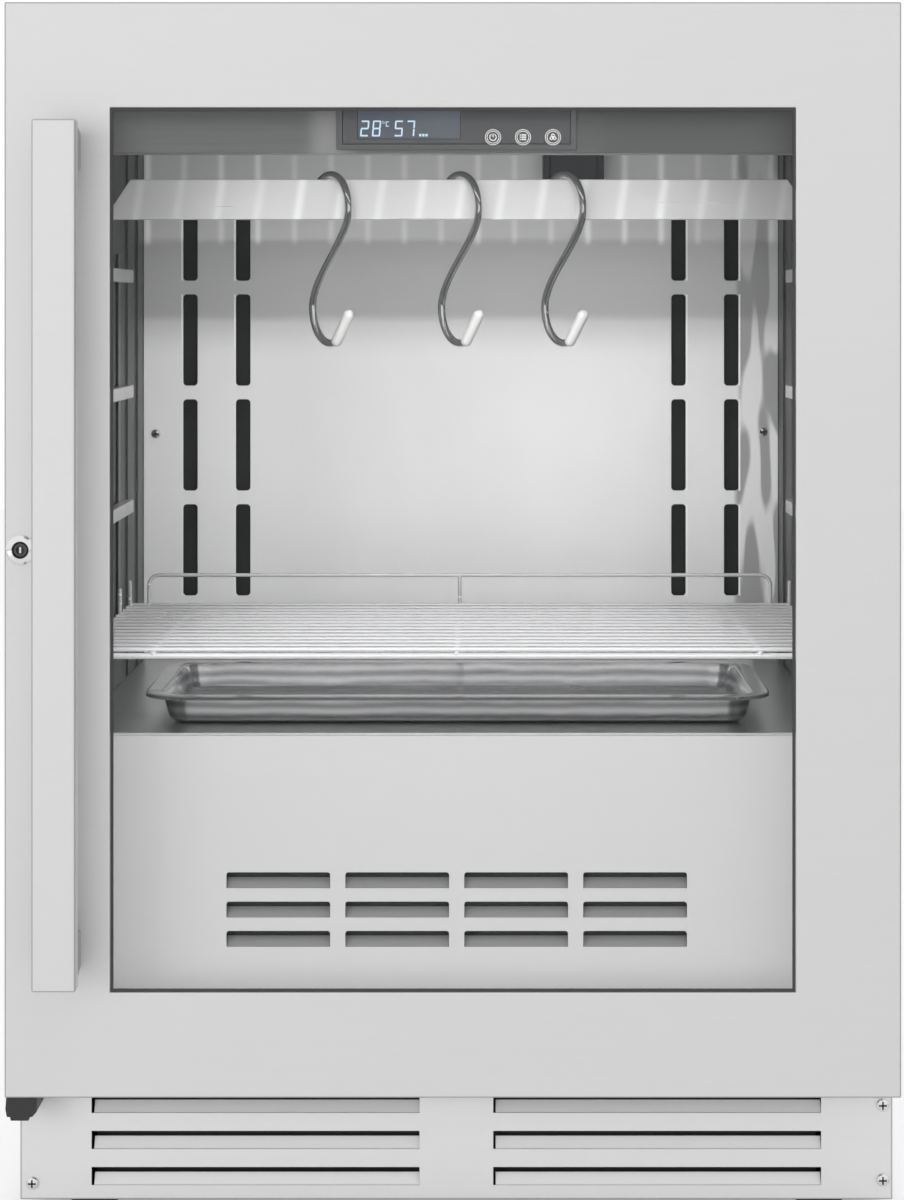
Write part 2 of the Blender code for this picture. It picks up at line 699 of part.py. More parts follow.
def hinge_plate(name, low, high, tail, pin_low, pin_high, parent):
    """A flat arm with a rounded nose around the pivot and a pin through it."""
    pivot_y = depth_y(PIVOT_DEPTH)
    nose = depth_y(PIVOT_DEPTH - HINGE_ARM_FRONT)
    left, right = PIVOT_X - HINGE_ARM_LEFT, PIVOT_X + HINGE_ARM_RIGHT
    back = depth_y(CABINET_FRONT + tail)
    outline = [(left, back), (left, pivot_y), (PIVOT_X - HINGE_ARM_RIGHT, nose), (PIVOT_X, nose),
               (right, pivot_y), (right, back)]
    plate = add_object(name, prism(outline, low, high, "Z"), "brushed_steel", parent)
    pin = rod((PIVOT_X, pivot_y, pin_low), (PIVOT_X, pivot_y, pin_high), PIN_RADIUS)
    boolean(plate, "pin", pin, "UNION")


def make_hinges(cabinet):
    low = CABINET_TOP + GAP
    middle = low + HINGE_PLATE / 2
    hinge_plate("hinge_top", low, low + HINGE_PLATE, HINGE_TOP_TAIL, low - PIN_LENGTH, middle, cabinet)
    low = PLINTH_TOP + GAP
    high = low + HINGE_BOTTOM_PLATE
    middle = low + HINGE_BOTTOM_PLATE / 2
    hinge_plate("hinge_bottom", low, high, HINGE_BOTTOM_TAIL, middle, high + PIN_LENGTH, cabinet)


def make_keeper(cabinet):
    right = side_x(-CABINET_HALF) - GAP
    limits_x = (right - KEEPER_PLATE, right)
    plate = block(limits_x, (depth_y(KEEPER_FRONT), depth_y(KEEPER_FRONT + KEEPER_LENGTH)),
                  (DOOR_MIDDLE - KEEPER_HALF_HEIGHT, DOOR_MIDDLE + KEEPER_HALF_HEIGHT))
    keeper = add_object("lock_keeper", plate, "brushed_steel", cabinet)
    cam_front = DOOR_THICKNESS + LOCK_CAM_GAP
    slot = block((limits_x[0] - OVERRUN, limits_x[1] + OVERRUN),
                 (depth_y(cam_front - GAP), depth_y(cam_front + LOCK_CAM_THICKNESS + GAP)),
                 (DOOR_MIDDLE - KEEPER_SLOT_BELOW, DOOR_MIDDLE + KEEPER_SLOT_ABOVE))
    boolean(keeper, "slot", slot)


# Cabinet body

def cabinet_box(inset, front, back, low, high):
    """A box across the cabinet, drawn in from both sides."""
    half = CABINET_HALF - inset
    return block((side_x(-half), side_x(half)), (depth_y(front), depth_y(back)), (low, high))


def make_shell(cabinet):
    walls = cabinet_box(0, SHELL_FRONT, SHELL_BACK, FOOT_HEIGHT, CABINET_TOP)
    shell = add_object("outer_cabinet", walls, "door_steel", cabinet)
    room = cabinet_box(SHELL_SHEET, SHELL_FRONT + SHELL_SHEET, SHELL_BACK + OVERRUN,
                       FOOT_HEIGHT - OVERRUN, CABINET_TOP - SHELL_SHEET)
    boolean(shell, "room", room)
    mouth = cabinet_box(SHELL_RETURN, SHELL_FRONT - OVERRUN, SHELL_FRONT + SHELL_SHEET + OVERRUN,
                        FOOT_HEIGHT - OVERRUN, CABINET_TOP - SHELL_RETURN)
    boolean(shell, "mouth", mouth)
    notch = block((PIVOT_X - HINGE_ARM_LEFT - OVERRUN, side_x(CABINET_HALF - SHELL_SHEET)),
                  (depth_y(SHELL_FRONT - OVERRUN), depth_y(SHELL_FRONT + SHELL_SHEET + OVERRUN)),
                  (PLINTH_TOP, PLINTH_TOP + DOOR_GAP + GAP))
    boolean(shell, "hinge_notch", notch)


def make_front_frame(cabinet):
    bottom = DOOR_BOTTOM + GAP
    outer = (CABINET_HALF, bottom, CABINET_TOP)
    grow = LINER_SHEET + GAP
    inner = (CHAMBER_HALF + grow, WELL_FLOOR - grow, CHAMBER_TOP + grow)
    back = CABINET_FRONT + FRONT_FRAME_SHEET
    corners = ((outer, CABINET_FRONT), (outer, back), (inner, back), (inner, CABINET_FRONT))
    rings = [upright_loop(*limits, depth, CABINET_SHIFT) for limits, depth in corners]
    add_object("front_frame", loft(rings, closed=True), "brushed_steel", cabinet)


def liner_outline(grow, front):
    """Side view of the chamber with its step over the machine bay, grown outwards."""
    low, step, top = WELL_FLOOR - grow, STEP_TOP - grow, CHAMBER_TOP + grow
    rise, back = STEP_FRONT + grow, LINER_BACK + grow
    steps = ((front, low), (rise, low), (rise, step), (back, step), (back, top), (front, top))
    return [(depth_y(depth), height) for depth, height in steps]


def liner_body(grow, front):
    """The chamber's space across the cabinet, grown outwards."""
    half = CHAMBER_HALF + grow
    return prism(liner_outline(grow, front), side_x(-half), side_x(half), "X")


def make_liner(cabinet):
    liner = add_object("inner_liner", liner_body(LINER_SHEET, CABINET_FRONT), "brushed_steel", cabinet)
    boolean(liner, "room", liner_body(0, CABINET_FRONT - OVERRUN))
    front = SHELL_FRONT + SHELL_SHEET + GAP
    back = SHELL_BACK - GAP
    under = WELL_FLOOR - FOAM_UNDER
    rise = STEP_FRONT + FOAM_UNDER
    ceiling = STEP_TOP - FOAM_UNDER
    top = CABINET_TOP - SHELL_SHEET - GAP
    steps = ((front, under), (rise, under), (rise, ceiling), (back, ceiling), (back, top), (front, top))
    outline = [(depth_y(depth), height) for depth, height in steps]
    half = CABINET_HALF - SHELL_SHEET - GAP
    body = prism(outline, side_x(-half), side_x(half), "X")
    foam = add_object("insulation", body, "foam", cabinet)
    boolean(foam, "room", liner_body(LINER_SHEET + GAP, front - OVERRUN))


def make_covers(cabinet):
    base = cabinet_box(SHELL_SHEET + GAP, SHELL_FRONT + SHELL_SHEET + GAP, SHELL_BACK - GAP,
                       FOOT_HEIGHT + GAP, BASE_TOP)
    add_object("base_plate", base, "black_paint", cabinet)
    front = SHELL_BACK + GAP
    back = front + REAR_SHEET
    rear = cabinet_box(0, front, back, MACHINE_BAY_TOP + GAP, CABINET_TOP)
    add_object("rear_cover", rear, "door_steel", cabinet)
    cover = add_object("machine_bay_cover", cabinet_box(0, front, back, FOOT_HEIGHT + GAP, MACHINE_BAY_TOP),
                       "black_paint", cabinet)
    vents = []
    pitch = BAY_VENT_WIDTH + BAY_VENT_GAP
    top_row = MACHINE_BAY_TOP - BAY_VENT_GAP - BAY_VENT_HEIGHT
    for column in range(BAY_VENT_COLUMNS):
        middle = side_x(pitch * (column - (BAY_VENT_COLUMNS - 1) / 2))
        for row in range(BAY_VENT_ROWS):
            low = top_row - row * BAY_VENT_PITCH
            vents.append(block((middle - BAY_VENT_WIDTH / 2, middle + BAY_VENT_WIDTH / 2),
                               (depth_y(front - OVERRUN), depth_y(back + OVERRUN)),
                               (low, low + BAY_VENT_HEIGHT)))
    boolean(cover, "vents", gather(vents))
    x, _, z = inlet_place()
    hole = rod((x, depth_y(front - OVERRUN), z), (x, depth_y(back + OVERRUN), z), INLET_BORE * 2 + GAP)
    boolean(cover, "inlet_hole", hole)


def inlet_place():
    """Where the mains cord comes through the machine bay's cover."""
    return side_x(INLET_FROM_SIDE - CABINET_HALF), depth_y(SHELL_BACK), FOOT_HEIGHT + INLET_RISE


def make_inlet(cabinet):
    """The mains grommet: a flange outside and a neck through the cover."""
    neck = INLET_BORE * 2
    seat = REAR_SHEET + GAP * 2
    profile = [(INLET_BORE, -INLET_DEEP), (neck, -INLET_DEEP), (neck, seat), (INLET_RADIUS, seat),
               (INLET_RADIUS, REAR_SPACE), (INLET_BORE, REAR_SPACE), (INLET_BORE, -INLET_DEEP)]
    smooth(add_object("mains_grommet", turned(profile, inlet_place(), (0, 1, 0)), "rubber", cabinet))


# Base of the cabinet

def make_plinth(cabinet):
    front, back = CABINET_FRONT, CABINET_FRONT + PLINTH_SHEET
    plate = cabinet_box(0, front, back, FOOT_HEIGHT, PLINTH_TOP)
    plinth = add_object("plinth", plate, "door_steel", cabinet)
    half = CABINET_HALF - SHELL_RETURN - GAP
    lip_y = (depth_y(back - PLINTH_SHEET / 2), depth_y(back + PLINTH_RETURN))
    lips = [block((side_x(-half), side_x(half)), lip_y, (low, low + PLINTH_SHEET))
            for low in (BASE_TOP + GAP, PLINTH_TOP - PLINTH_SHEET)]
    boolean(plinth, "returns", gather(lips), "UNION")
    slots = []
    for side in (-1, 1):
        inner = side * PLINTH_SLOT_BRIDGE / 2
        outer = side * (CABINET_HALF - PLINTH_SLOT_END)
        for row in range(PLINTH_SLOT_ROWS):
            low = FOOT_HEIGHT + PLINTH_SLOT_LOW + row * PLINTH_SLOT_PITCH
            slots.append(block((side_x(inner), side_x(outer)),
                               (depth_y(front - OVERRUN), depth_y(back + OVERRUN)),
                               (low, low + PLINTH_SLOT_HEIGHT)))
    boolean(plinth, "slots", gather(slots))
    right = side_x(-CABINET_HALF) + DOOR_REST_WIDTH
    left = -DOOR_HALF_WIDTH
    top = DOOR_BOTTOM - GAP * 2
    middle = top - DOOR_REST_HEIGHT / 2
    bottom, shoulder = top - DOOR_REST_HEIGHT, right + DOOR_REST_STEP
    outline = [(left, middle), (left + DOOR_REST_STEP, bottom), (right, bottom), (right, middle),
               (shoulder, middle), (shoulder, top), (left, top)]
    rest = prism(outline, depth_y(DOOR_REST_FRONT), depth_y(CABINET_FRONT - GAP), "Y")
    add_object("door_rest", rest, "black_plastic", cabinet)


def make_feet():
    front, back = CABINET_FRONT + FOOT_INSET, SHELL_BACK - FOOT_INSET
    reach = CABINET_HALF - FOOT_INSET
    places = {"front_left": (-reach, front), "front_right": (reach, front),
              "back_left": (-reach, back), "back_right": (reach, back)}
    nut = FOOT_NUT_RADIUS
    for name, (offset, depth) in places.items():
        place = (side_x(offset), depth_y(depth), 0)
        axis = add_empty("foot_axis_" + name, place)
        profile = [(0, 0), (FOOT_RADIUS, 0), (FOOT_RADIUS, FOOT_PAD / 2), (nut, FOOT_PAD),
                   (nut, FOOT_HEIGHT), (0, FOOT_HEIGHT)]
        smooth(add_object("foot_" + name, turned(profile, place), "black_plastic", axis))


# Chamber fittings

def make_fascia(cabinet):
    half = CHAMBER_HALF - GAP
    top = CHAMBER_TOP - GAP
    front, back = FASCIA_DEPTH, FASCIA_DEPTH + FASCIA_SHEET
    plate = block((side_x(-half), side_x(half)), (depth_y(front), depth_y(back)), (FASCIA_BOTTOM, top))
    fascia = add_object("control_fascia", plate, "dark_steel", cabinet)
    lip = block((side_x(-half), side_x(half)),
                (depth_y(back - FASCIA_SHEET / 2), depth_y(back + FASCIA_RETURN)),
                (FASCIA_BOTTOM, FASCIA_BOTTOM + FASCIA_SHEET))
    boolean(fascia, "return", lip, "UNION")
    inner = MODULE_WIDTH / 2 - MODULE_BEZEL
    low, high = MODULE_BOTTOM + MODULE_BEZEL, MODULE_TOP - MODULE_BEZEL
    window = block((side_x(-inner), side_x(inner)), (depth_y(front - OVERRUN), depth_y(back + OVERRUN)),
                   (low, high))
    boolean(fascia, "module_opening", window)
    flange_front = FASCIA_DEPTH - GAP - MODULE_PROUD
    outer = MODULE_WIDTH / 2
    flange = block((side_x(-outer), side_x(outer)), (depth_y(flange_front), depth_y(front - GAP)),
                   (MODULE_BOTTOM, MODULE_TOP))
    housing = add_object("control_housing", flange, "black_plastic", cabinet)
    body_half = inner - GAP
    body = block((side_x(-body_half), side_x(body_half)),
                 (depth_y(flange_front + MODULE_PROUD / 2), depth_y(front + MODULE_DEPTH)),
                 (low + GAP, high - GAP))
    boolean(housing, "body", body, "UNION")
    lens_half = inner
    recess = block((side_x(-lens_half), side_x(lens_half)),
                   (depth_y(flange_front - OVERRUN), depth_y(flange_front + LENS_SHEET + GAP)), (low, high))
    boolean(housing, "lens_recess", recess)
    limits_y = (depth_y(flange_front), depth_y(flange_front + LENS_SHEET))
    lens = block((side_x(GAP - lens_half), side_x(lens_half - GAP)), limits_y, (low + GAP, high - GAP))
    lens_piece = add_object("control_lens", lens, "dark_lens", cabinet)
    left = -MODULE_WIDTH / 2 + DISPLAY_LEFT
    right = left + DISPLAY_WIDTH
    display_top = high - GAP - DISPLAY_BORDER
    display_low = MODULE_BOTTOM + DISPLAY_RISE
    hole = block((side_x(left - GAP), side_x(right + GAP)),
                 (limits_y[0] - OVERRUN, limits_y[1] + OVERRUN), (display_low - GAP, display_top + GAP))
    boolean(lens_piece, "display_opening", hole)
    display = block((side_x(left), side_x(right)), limits_y, (display_low, display_top))
    add_object("display_window", display, "display", cabinet)


def make_lamp(cabinet):
    top = CHAMBER_TOP - GAP
    half = LAMP_WIDTH / 2
    limits_y = (depth_y(LAMP_DEPTH), depth_y(LAMP_DEPTH + LAMP_BREADTH))
    lamp = block((side_x(-half), side_x(half)), limits_y, (top - LAMP_HEIGHT, top))
    add_object("lamp_strip", lamp, "white_plastic", cabinet)


def make_sensor(cabinet):
    back = BACK_PANEL_DEPTH - GAP
    front = back - SENSOR_BREADTH
    top = CHAMBER_TOP - GAP
    left, right = SENSOR_LEFT, SENSOR_LEFT + SENSOR_WIDTH
    body = block((side_x(left), side_x(right)), (depth_y(front), depth_y(back)), (top - SENSOR_HEIGHT, top))
    sensor = add_object("sensor_housing", body, "black_plastic", cabinet)
    recess = block((side_x(left + SENSOR_BORDER), side_x(right - SENSOR_BORDER)),
                   (depth_y(front - OVERRUN), depth_y(front + SENSOR_RECESS)),
                   (top - SENSOR_HEIGHT + SENSOR_BORDER, top - SENSOR_TOP_BORDER))
    boolean(sensor, "recess", recess)


def make_back_panel(cabinet):
    half = CHAMBER_HALF - GAP
    low, high = FLOOR_TOP + GAP, CHAMBER_TOP - GAP
    sheet = BACK_PANEL_SHEET
    cover = block((side_x(-half), side_x(half)), (depth_y(BACK_PANEL_DEPTH), depth_y(LINER_BACK - GAP)),
                  (low, high))
    panel = add_object("back_panel", cover, "brushed_steel", cabinet)
    room = block((side_x(sheet - half), side_x(half - sheet)),
                 (depth_y(BACK_PANEL_DEPTH + sheet), depth_y(LINER_BACK + OVERRUN)),
                 (low + sheet, high - sheet))
    boolean(panel, "duct", room)
    slots = []
    outline = rounded_outline(BACK_SLOT_WIDTH / 2, BACK_SLOT_HEIGHT / 2, BACK_SLOT_CORNER, 1)
    for column in (-BACK_SLOT_OUTER, -BACK_SLOT_INNER, BACK_SLOT_INNER, BACK_SLOT_OUTER):
        for row in range(BACK_SLOT_ROWS):
            middle = BACK_SLOT_LOW + row * BACK_SLOT_PITCH + BACK_SLOT_HEIGHT / 2
            placed = [(side_x(column) + x, middle + z) for x, z in outline]
            slots.append(prism(placed, depth_y(BACK_PANEL_DEPTH - OVERRUN),
                               depth_y(BACK_PANEL_DEPTH + sheet + OVERRUN), "Y"))
    boolean(panel, "slots", gather(slots))


def make_lower_panels(cabinet):
    half = CHAMBER_HALF - GAP
    front, back = LOWER_PANEL_DEPTH, LOWER_PANEL_DEPTH + LOWER_PANEL_SHEET
    plate = block((side_x(-half), side_x(half)), (depth_y(front), depth_y(back)),
                  (WELL_FLOOR + GAP, FLOOR_TOP))
    panel = add_object("lower_panel", plate, "door_steel", cabinet)
    lip = block((side_x(-half), side_x(half)),
                (depth_y(back - LOWER_PANEL_SHEET / 2), depth_y(back + LOWER_RETURN)),
                (FLOOR_TOP - LOWER_PANEL_SHEET, FLOOR_TOP))
    boolean(panel, "return", lip, "UNION")
    vents = []
    for column in range(VENT_COLUMNS):
        middle = side_x(VENT_COLUMN_PITCH * (column - (VENT_COLUMNS - 1) / 2))
        for row in range(VENT_ROWS):
            low = WELL_FLOOR + VENT_RISE + row * VENT_ROW_PITCH
            vents.append(block((middle - VENT_WIDTH / 2, middle + VENT_WIDTH / 2),
                               (depth_y(front - OVERRUN), depth_y(back + OVERRUN)),
                               (low, low + VENT_HEIGHT)))
    boolean(panel, "vents", gather(vents))
    floor_front = back + LOWER_RETURN + GAP
    floor_back = LINER_BACK - GAP
    sheet = FLOOR_SHEET
    deck = block((side_x(-half), side_x(half)), (depth_y(floor_front), depth_y(floor_back)),
                 (FLOOR_TOP - sheet, FLOOR_TOP))
    floor = add_object("floor_panel", deck, "brushed_steel", cabinet)
    leg_y, leg_z = (depth_y(STEP_FRONT), depth_y(floor_back)), (STEP_TOP + GAP, FLOOR_TOP - sheet / 2)
    legs = [block((side_x(side * half), side_x(side * (half - sheet))), leg_y, leg_z) for side in (-1, 1)]
    boolean(floor, "legs", gather(legs), "UNION")


def make_shelf_supports(cabinet):
    wall = CHAMBER_HALF - GAP
    top_ledge = LEDGE_LOW + (LEDGE_COUNT - 1) * LEDGE_PITCH + LEDGE_HEIGHT
    post_z = (LEDGE_LOW - POST_REACH, top_ledge + POST_REACH)
    post_fronts = (LEDGE_FRONT + POST_INSET, LEDGE_FRONT + LEDGE_LENGTH - POST_INSET - SUPPORT_POST)
    for name, side in (("shelf_support_left", -1), ("shelf_support_right", 1)):
        limits_x = (side_x(side * wall), side_x(side * (wall - LEDGE_REACH)))
        limits_y = (depth_y(LEDGE_FRONT), depth_y(LEDGE_FRONT + LEDGE_LENGTH))
        levels = [LEDGE_LOW + level * LEDGE_PITCH for level in range(LEDGE_COUNT)]
        ledges = [block(limits_x, limits_y, (low, low + LEDGE_HEIGHT)) for low in levels]
        support = add_object(name, gather(ledges), "brushed_steel", cabinet)
        post_x = (side_x(side * wall), side_x(side * (wall - SUPPORT_SHEET)))
        posts = [block(post_x, (depth_y(front), depth_y(front + SUPPORT_POST)), post_z)
                 for front in post_fronts]
        boolean(support, "posts", gather(posts), "UNION")


def make_shelf(shelf):
    front, back = depth_y(SHELF_FRONT), depth_y(SHELF_FRONT + SHELF_LENGTH)
    wires = []
    for number in range(SHELF_WIRES):
        y = front + (back - front) * number / (SHELF_WIRES - 1)
        wires.append(rod((side_x(-SHELF_HALF), y, SHELF_Z), (side_x(SHELF_HALF), y, SHELF_Z), SHELF_WIRE,
                         WIRE_SIDES))
    piece = add_object("wire_shelf", gather(wires), "chrome", shelf)
    inner = SHELF_HALF - SHELF_CROSS_INSET
    crossings = (-SHELF_HALF, -inner, 0, inner, SHELF_HALF)
    crosses = [rod((side_x(x), front, CROSS_Z), (side_x(x), back, CROSS_Z), SHELF_FRAME_WIRE, WIRE_SIDES)
               for x in crossings]
    boolean(piece, "cross_wires", gather(crosses), "UNION")
    drop = CROSS_Z - SHELF_FRONT_DROP
    edge = rod((side_x(-SHELF_HALF), front, drop), (side_x(SHELF_HALF), front, drop), SHELF_FRAME_WIRE,
               WIRE_SIDES)
    top = SHELF_Z + GUARD_HEIGHT
    bend = GUARD_BEND
    reach = SHELF_HALF - GUARD_INSET
    quarter = math.pi / 2
    left = arc((side_x(bend - reach), back, top - bend), (-bend, 0, 0), (0, 0, bend), 0, quarter,
               BEND_STEPS)
    right = arc((side_x(reach - bend), back, top - bend), (0, 0, bend), (bend, 0, 0), 0, quarter,
                BEND_STEPS)
    ends = [(side_x(side * reach), back, SHELF_Z) for side in (-1, 1)]
    guard = tube([ends[0], *left, *right, ends[1]], SHELF_WIRE, TUBE_RESOLUTION)
    uprights = []
    for x in (side_x(-SHELF_HALF), side_x(SHELF_HALF)):
        for y in (back - SHELF_FRAME_WIRE, back - UPRIGHT_SPACE):
            uprights.append(rod((x, y, CROSS_Z), (x, y, SHELF_Z + UPRIGHT_HEIGHT), SHELF_WIRE, WIRE_SIDES))
    boolean(piece, "edge_and_guard", gather([edge, guard, *uprights]), "UNION")
    post = rod((side_x(0), back, SHELF_Z), (side_x(0), back, top), SHELF_WIRE, WIRE_SIDES)
    boolean(piece, "guard_post", post, "UNION")
    smooth(piece)


def make_rail(cabinet):
    half = CHAMBER_HALF - GAP
    shoulder = RAIL_BOTTOM + RAIL_END_HEIGHT
    outline = [(-half, RAIL_BOTTOM), (half, RAIL_BOTTOM), (half, shoulder),
               (half - RAIL_CORNER_CUT, RAIL_TOP), (RAIL_CORNER_CUT - half, RAIL_TOP), (-half, shoulder)]
    placed = [(side_x(x), z) for x, z in outline]
    front, back = RAIL_DEPTH, RAIL_DEPTH + RAIL_SHEET
    plate = prism(placed, depth_y(front), depth_y(back), "Y")
    rail = add_object("hanging_rail", plate, "brushed_steel", cabinet)
    start = depth_y(back - RAIL_SHEET / 2)
    lip = block((side_x(-half), side_x(half)), (start, depth_y(back + RAIL_LIP)),
                (RAIL_BOTTOM, RAIL_BOTTOM + RAIL_SHEET))
    boolean(rail, "lip", lip, "UNION")
    end_y = (start, depth_y(back + RAIL_END_LENGTH))
    ends = [block((side_x(side * half), side_x(side * (half - RAIL_SHEET))), end_y, (RAIL_BOTTOM, shoulder))
            for side in (-1, 1)]
    boolean(rail, "ends", gather(ends), "UNION")


def hook_point(place, across, down):
    """A point of a hook's wire from its offsets in the hook's own plane."""
    return Vector(place) + Vector((across * math.cos(HOOK_TURN), -across * math.sin(HOOK_TURN), down))


def make_hook(number, offset):
    crown = RAIL_TOP + HOOK_SEAT + HOOK_WIRE
    place = (side_x(offset), depth_y(RAIL_DEPTH + RAIL_SHEET / 2), crown)
    slide = add_empty("hook_slide_%d" % number, place)
    half = HOOK_HALF_WIDTH
    low_centre = HOOK_BOTTOM_DROP - (HOOK_HEIGHT - HOOK_WIRE * 2)
    path = []
    for step in range(HOOK_STEPS + 1):
        angle = math.pi * (1 - step / HOOK_STEPS)
        path.append((half * math.cos(angle), HOOK_TOP_RISE * (math.sin(angle) - 1)))
    for step in range(1, HOOK_STEPS):
        share = step / HOOK_STEPS
        ease = share * share * (3 - 2 * share)
        path.append((half * (1 - 2 * ease), -HOOK_TOP_RISE + share * (low_centre + HOOK_TOP_RISE)))
    turn = math.pi - HOOK_TIP_ARC
    steps = HOOK_STEPS
    for step in range(steps + 1):
        angle = math.pi + turn * step / steps
        path.append((half * math.cos(angle), low_centre + HOOK_BOTTOM_DROP * math.sin(angle)))
    wire = tube([hook_point(place, across, down) for across, down in path], HOOK_WIRE, TUBE_RESOLUTION)
    smooth(add_object("hook_%d" % number, wire, "chrome", slide))
    start = math.pi + turn + HOOK_TIP_SPACE / half
    tip_path = []
    tip_steps = steps // 2 + 1
    for step in range(tip_steps + 1):
        angle = start + (math.tau - start) * step / tip_steps
        tip_path.append((half * math.cos(angle), low_centre + HOOK_BOTTOM_DROP * math.sin(angle)))
    tip = tube([hook_point(place, across, down) for across, down in tip_path], HOOK_TIP_RADIUS,
               TUBE_RESOLUTION)
    smooth(add_object("hook_tip_%d" % number, tip, "white_plastic", slide))


def make_tray(tray):
    bottom = FLOOR_TOP + GAP
    top = bottom + TRAY_HEIGHT
    half = CHAMBER_HALF - TRAY_SIDE_SPACE
    middle = depth_y(TRAY_FRONT + TRAY_LENGTH / 2)
    wall = TRAY_RIM + TRAY_DRAFT
    levels = ((wall, bottom + TRAY_SHEET), (TRAY_RIM, top), (0, top), (0, top - TRAY_SHEET),
              (TRAY_RIM - TRAY_SHEET, top - TRAY_SHEET), (wall - TRAY_SHEET, bottom))
    rings = []
    for inset, height in levels:
        outline = rounded_outline(half - inset, TRAY_LENGTH / 2 - inset, TRAY_CORNER, TRAY_CORNER_STEPS)
        rings.append([(side_x(x), middle + y, height) for x, y in outline])
    smooth(add_object("drip_tray", loft(rings), "chrome", tray), math.radians(25))


# Cooling system

def fin_block(name, left, right, front, depth, low, high, parent):
    """A heat exchanger: upright fins on a solid back."""
    piece = add_object(name, block((left, right), (front, front + depth), (low, high)), "aluminium", parent)
    pitch = (right - left) / FIN_COUNT
    cuts = []
    for number in range(FIN_COUNT):
        start = left + pitch * (number + (1 - FIN_SHARE) / 2)
        end = start + pitch * FIN_SHARE
        cuts.append(block((start, end), (front - OVERRUN, front + depth * FIN_CUT_SHARE),
                          (low - OVERRUN, high + OVERRUN)))
    return boolean(piece, "fins", gather(cuts))


def make_fan(name, middle, back, size, parent):
    """A fan frame with its boss on struts, and a bladed rotor on an axle line along Y."""
    x, z = middle
    half = size / 2
    front = back - FAN_THICKNESS
    frame = add_object(name + "_frame", block((x - half, x + half), (front, back), (z - half, z + half)),
                       "black_plastic", parent)
    bore_radius = half - FAN_BORE_CLEARANCE
    boolean(frame, "bore", rod((x, front - OVERRUN, z), (x, back + OVERRUN, z), bore_radius))
    boss_front = back - FAN_BOSS_THICKNESS
    hub_radius = size * FAN_HUB_SHARE
    boss = rod((x, boss_front, z), (x, back, z), hub_radius)
    struts = []
    for number in range(FAN_STRUTS):
        strut = block((hub_radius / 2, bore_radius + FAN_BORE_CLEARANCE / 2),
                      (boss_front + GAP, back - GAP), (-FAN_STRUT_WIDTH / 2, FAN_STRUT_WIDTH / 2))
        turn = Matrix.Rotation(math.tau * number / FAN_STRUTS + math.pi / 2, 3, "Y")
        bmesh.ops.rotate(strut, cent=(0, 0, 0), matrix=turn, verts=strut.verts)
        bmesh.ops.translate(strut, vec=(x, 0, z), verts=strut.verts)
        struts.append(strut)
    boolean(frame, "boss", boss, "UNION")
    for number, strut in enumerate(struts, 1):
        boolean(frame, "strut_%d" % number, strut, "UNION")
    rotor_back = boss_front - GAP
    rotor_front = rotor_back - FAN_ROTOR_THICKNESS
    axis = add_empty(name + "_axis", (x, rotor_back, z))
    hub = rod((x, rotor_front, z), (x, rotor_back, z), hub_radius)
    rotor = add_object(name + "_rotor", hub, "black_plastic", axis)
    chord = FAN_ROTOR_THICKNESS * FAN_CHORD_SHARE / math.sin(FAN_BLADE_PITCH)
    tip = bore_radius - FAN_TIP_CLEARANCE
    blades = []
    for number in range(FAN_BLADES):
        sheet = FAN_BLADE_SHEET / 2
        blade = block((hub_radius - FAN_STRUT_WIDTH, tip), (-sheet, sheet), (-chord / 2, chord / 2))
        pitch = Matrix.Rotation(FAN_BLADE_PITCH, 3, "X")
        turn = Matrix.Rotation(math.tau * number / FAN_BLADES, 3, "Y")
        bmesh.ops.rotate(blade, cent=(0, 0, 0), matrix=turn @ pitch, verts=blade.verts)
        bmesh.ops.translate(blade, vec=(x, (rotor_front + rotor_back) / 2, z), verts=blade.verts)
        blades.append(blade)
    boolean(rotor, "blades", gather(blades), "UNION")


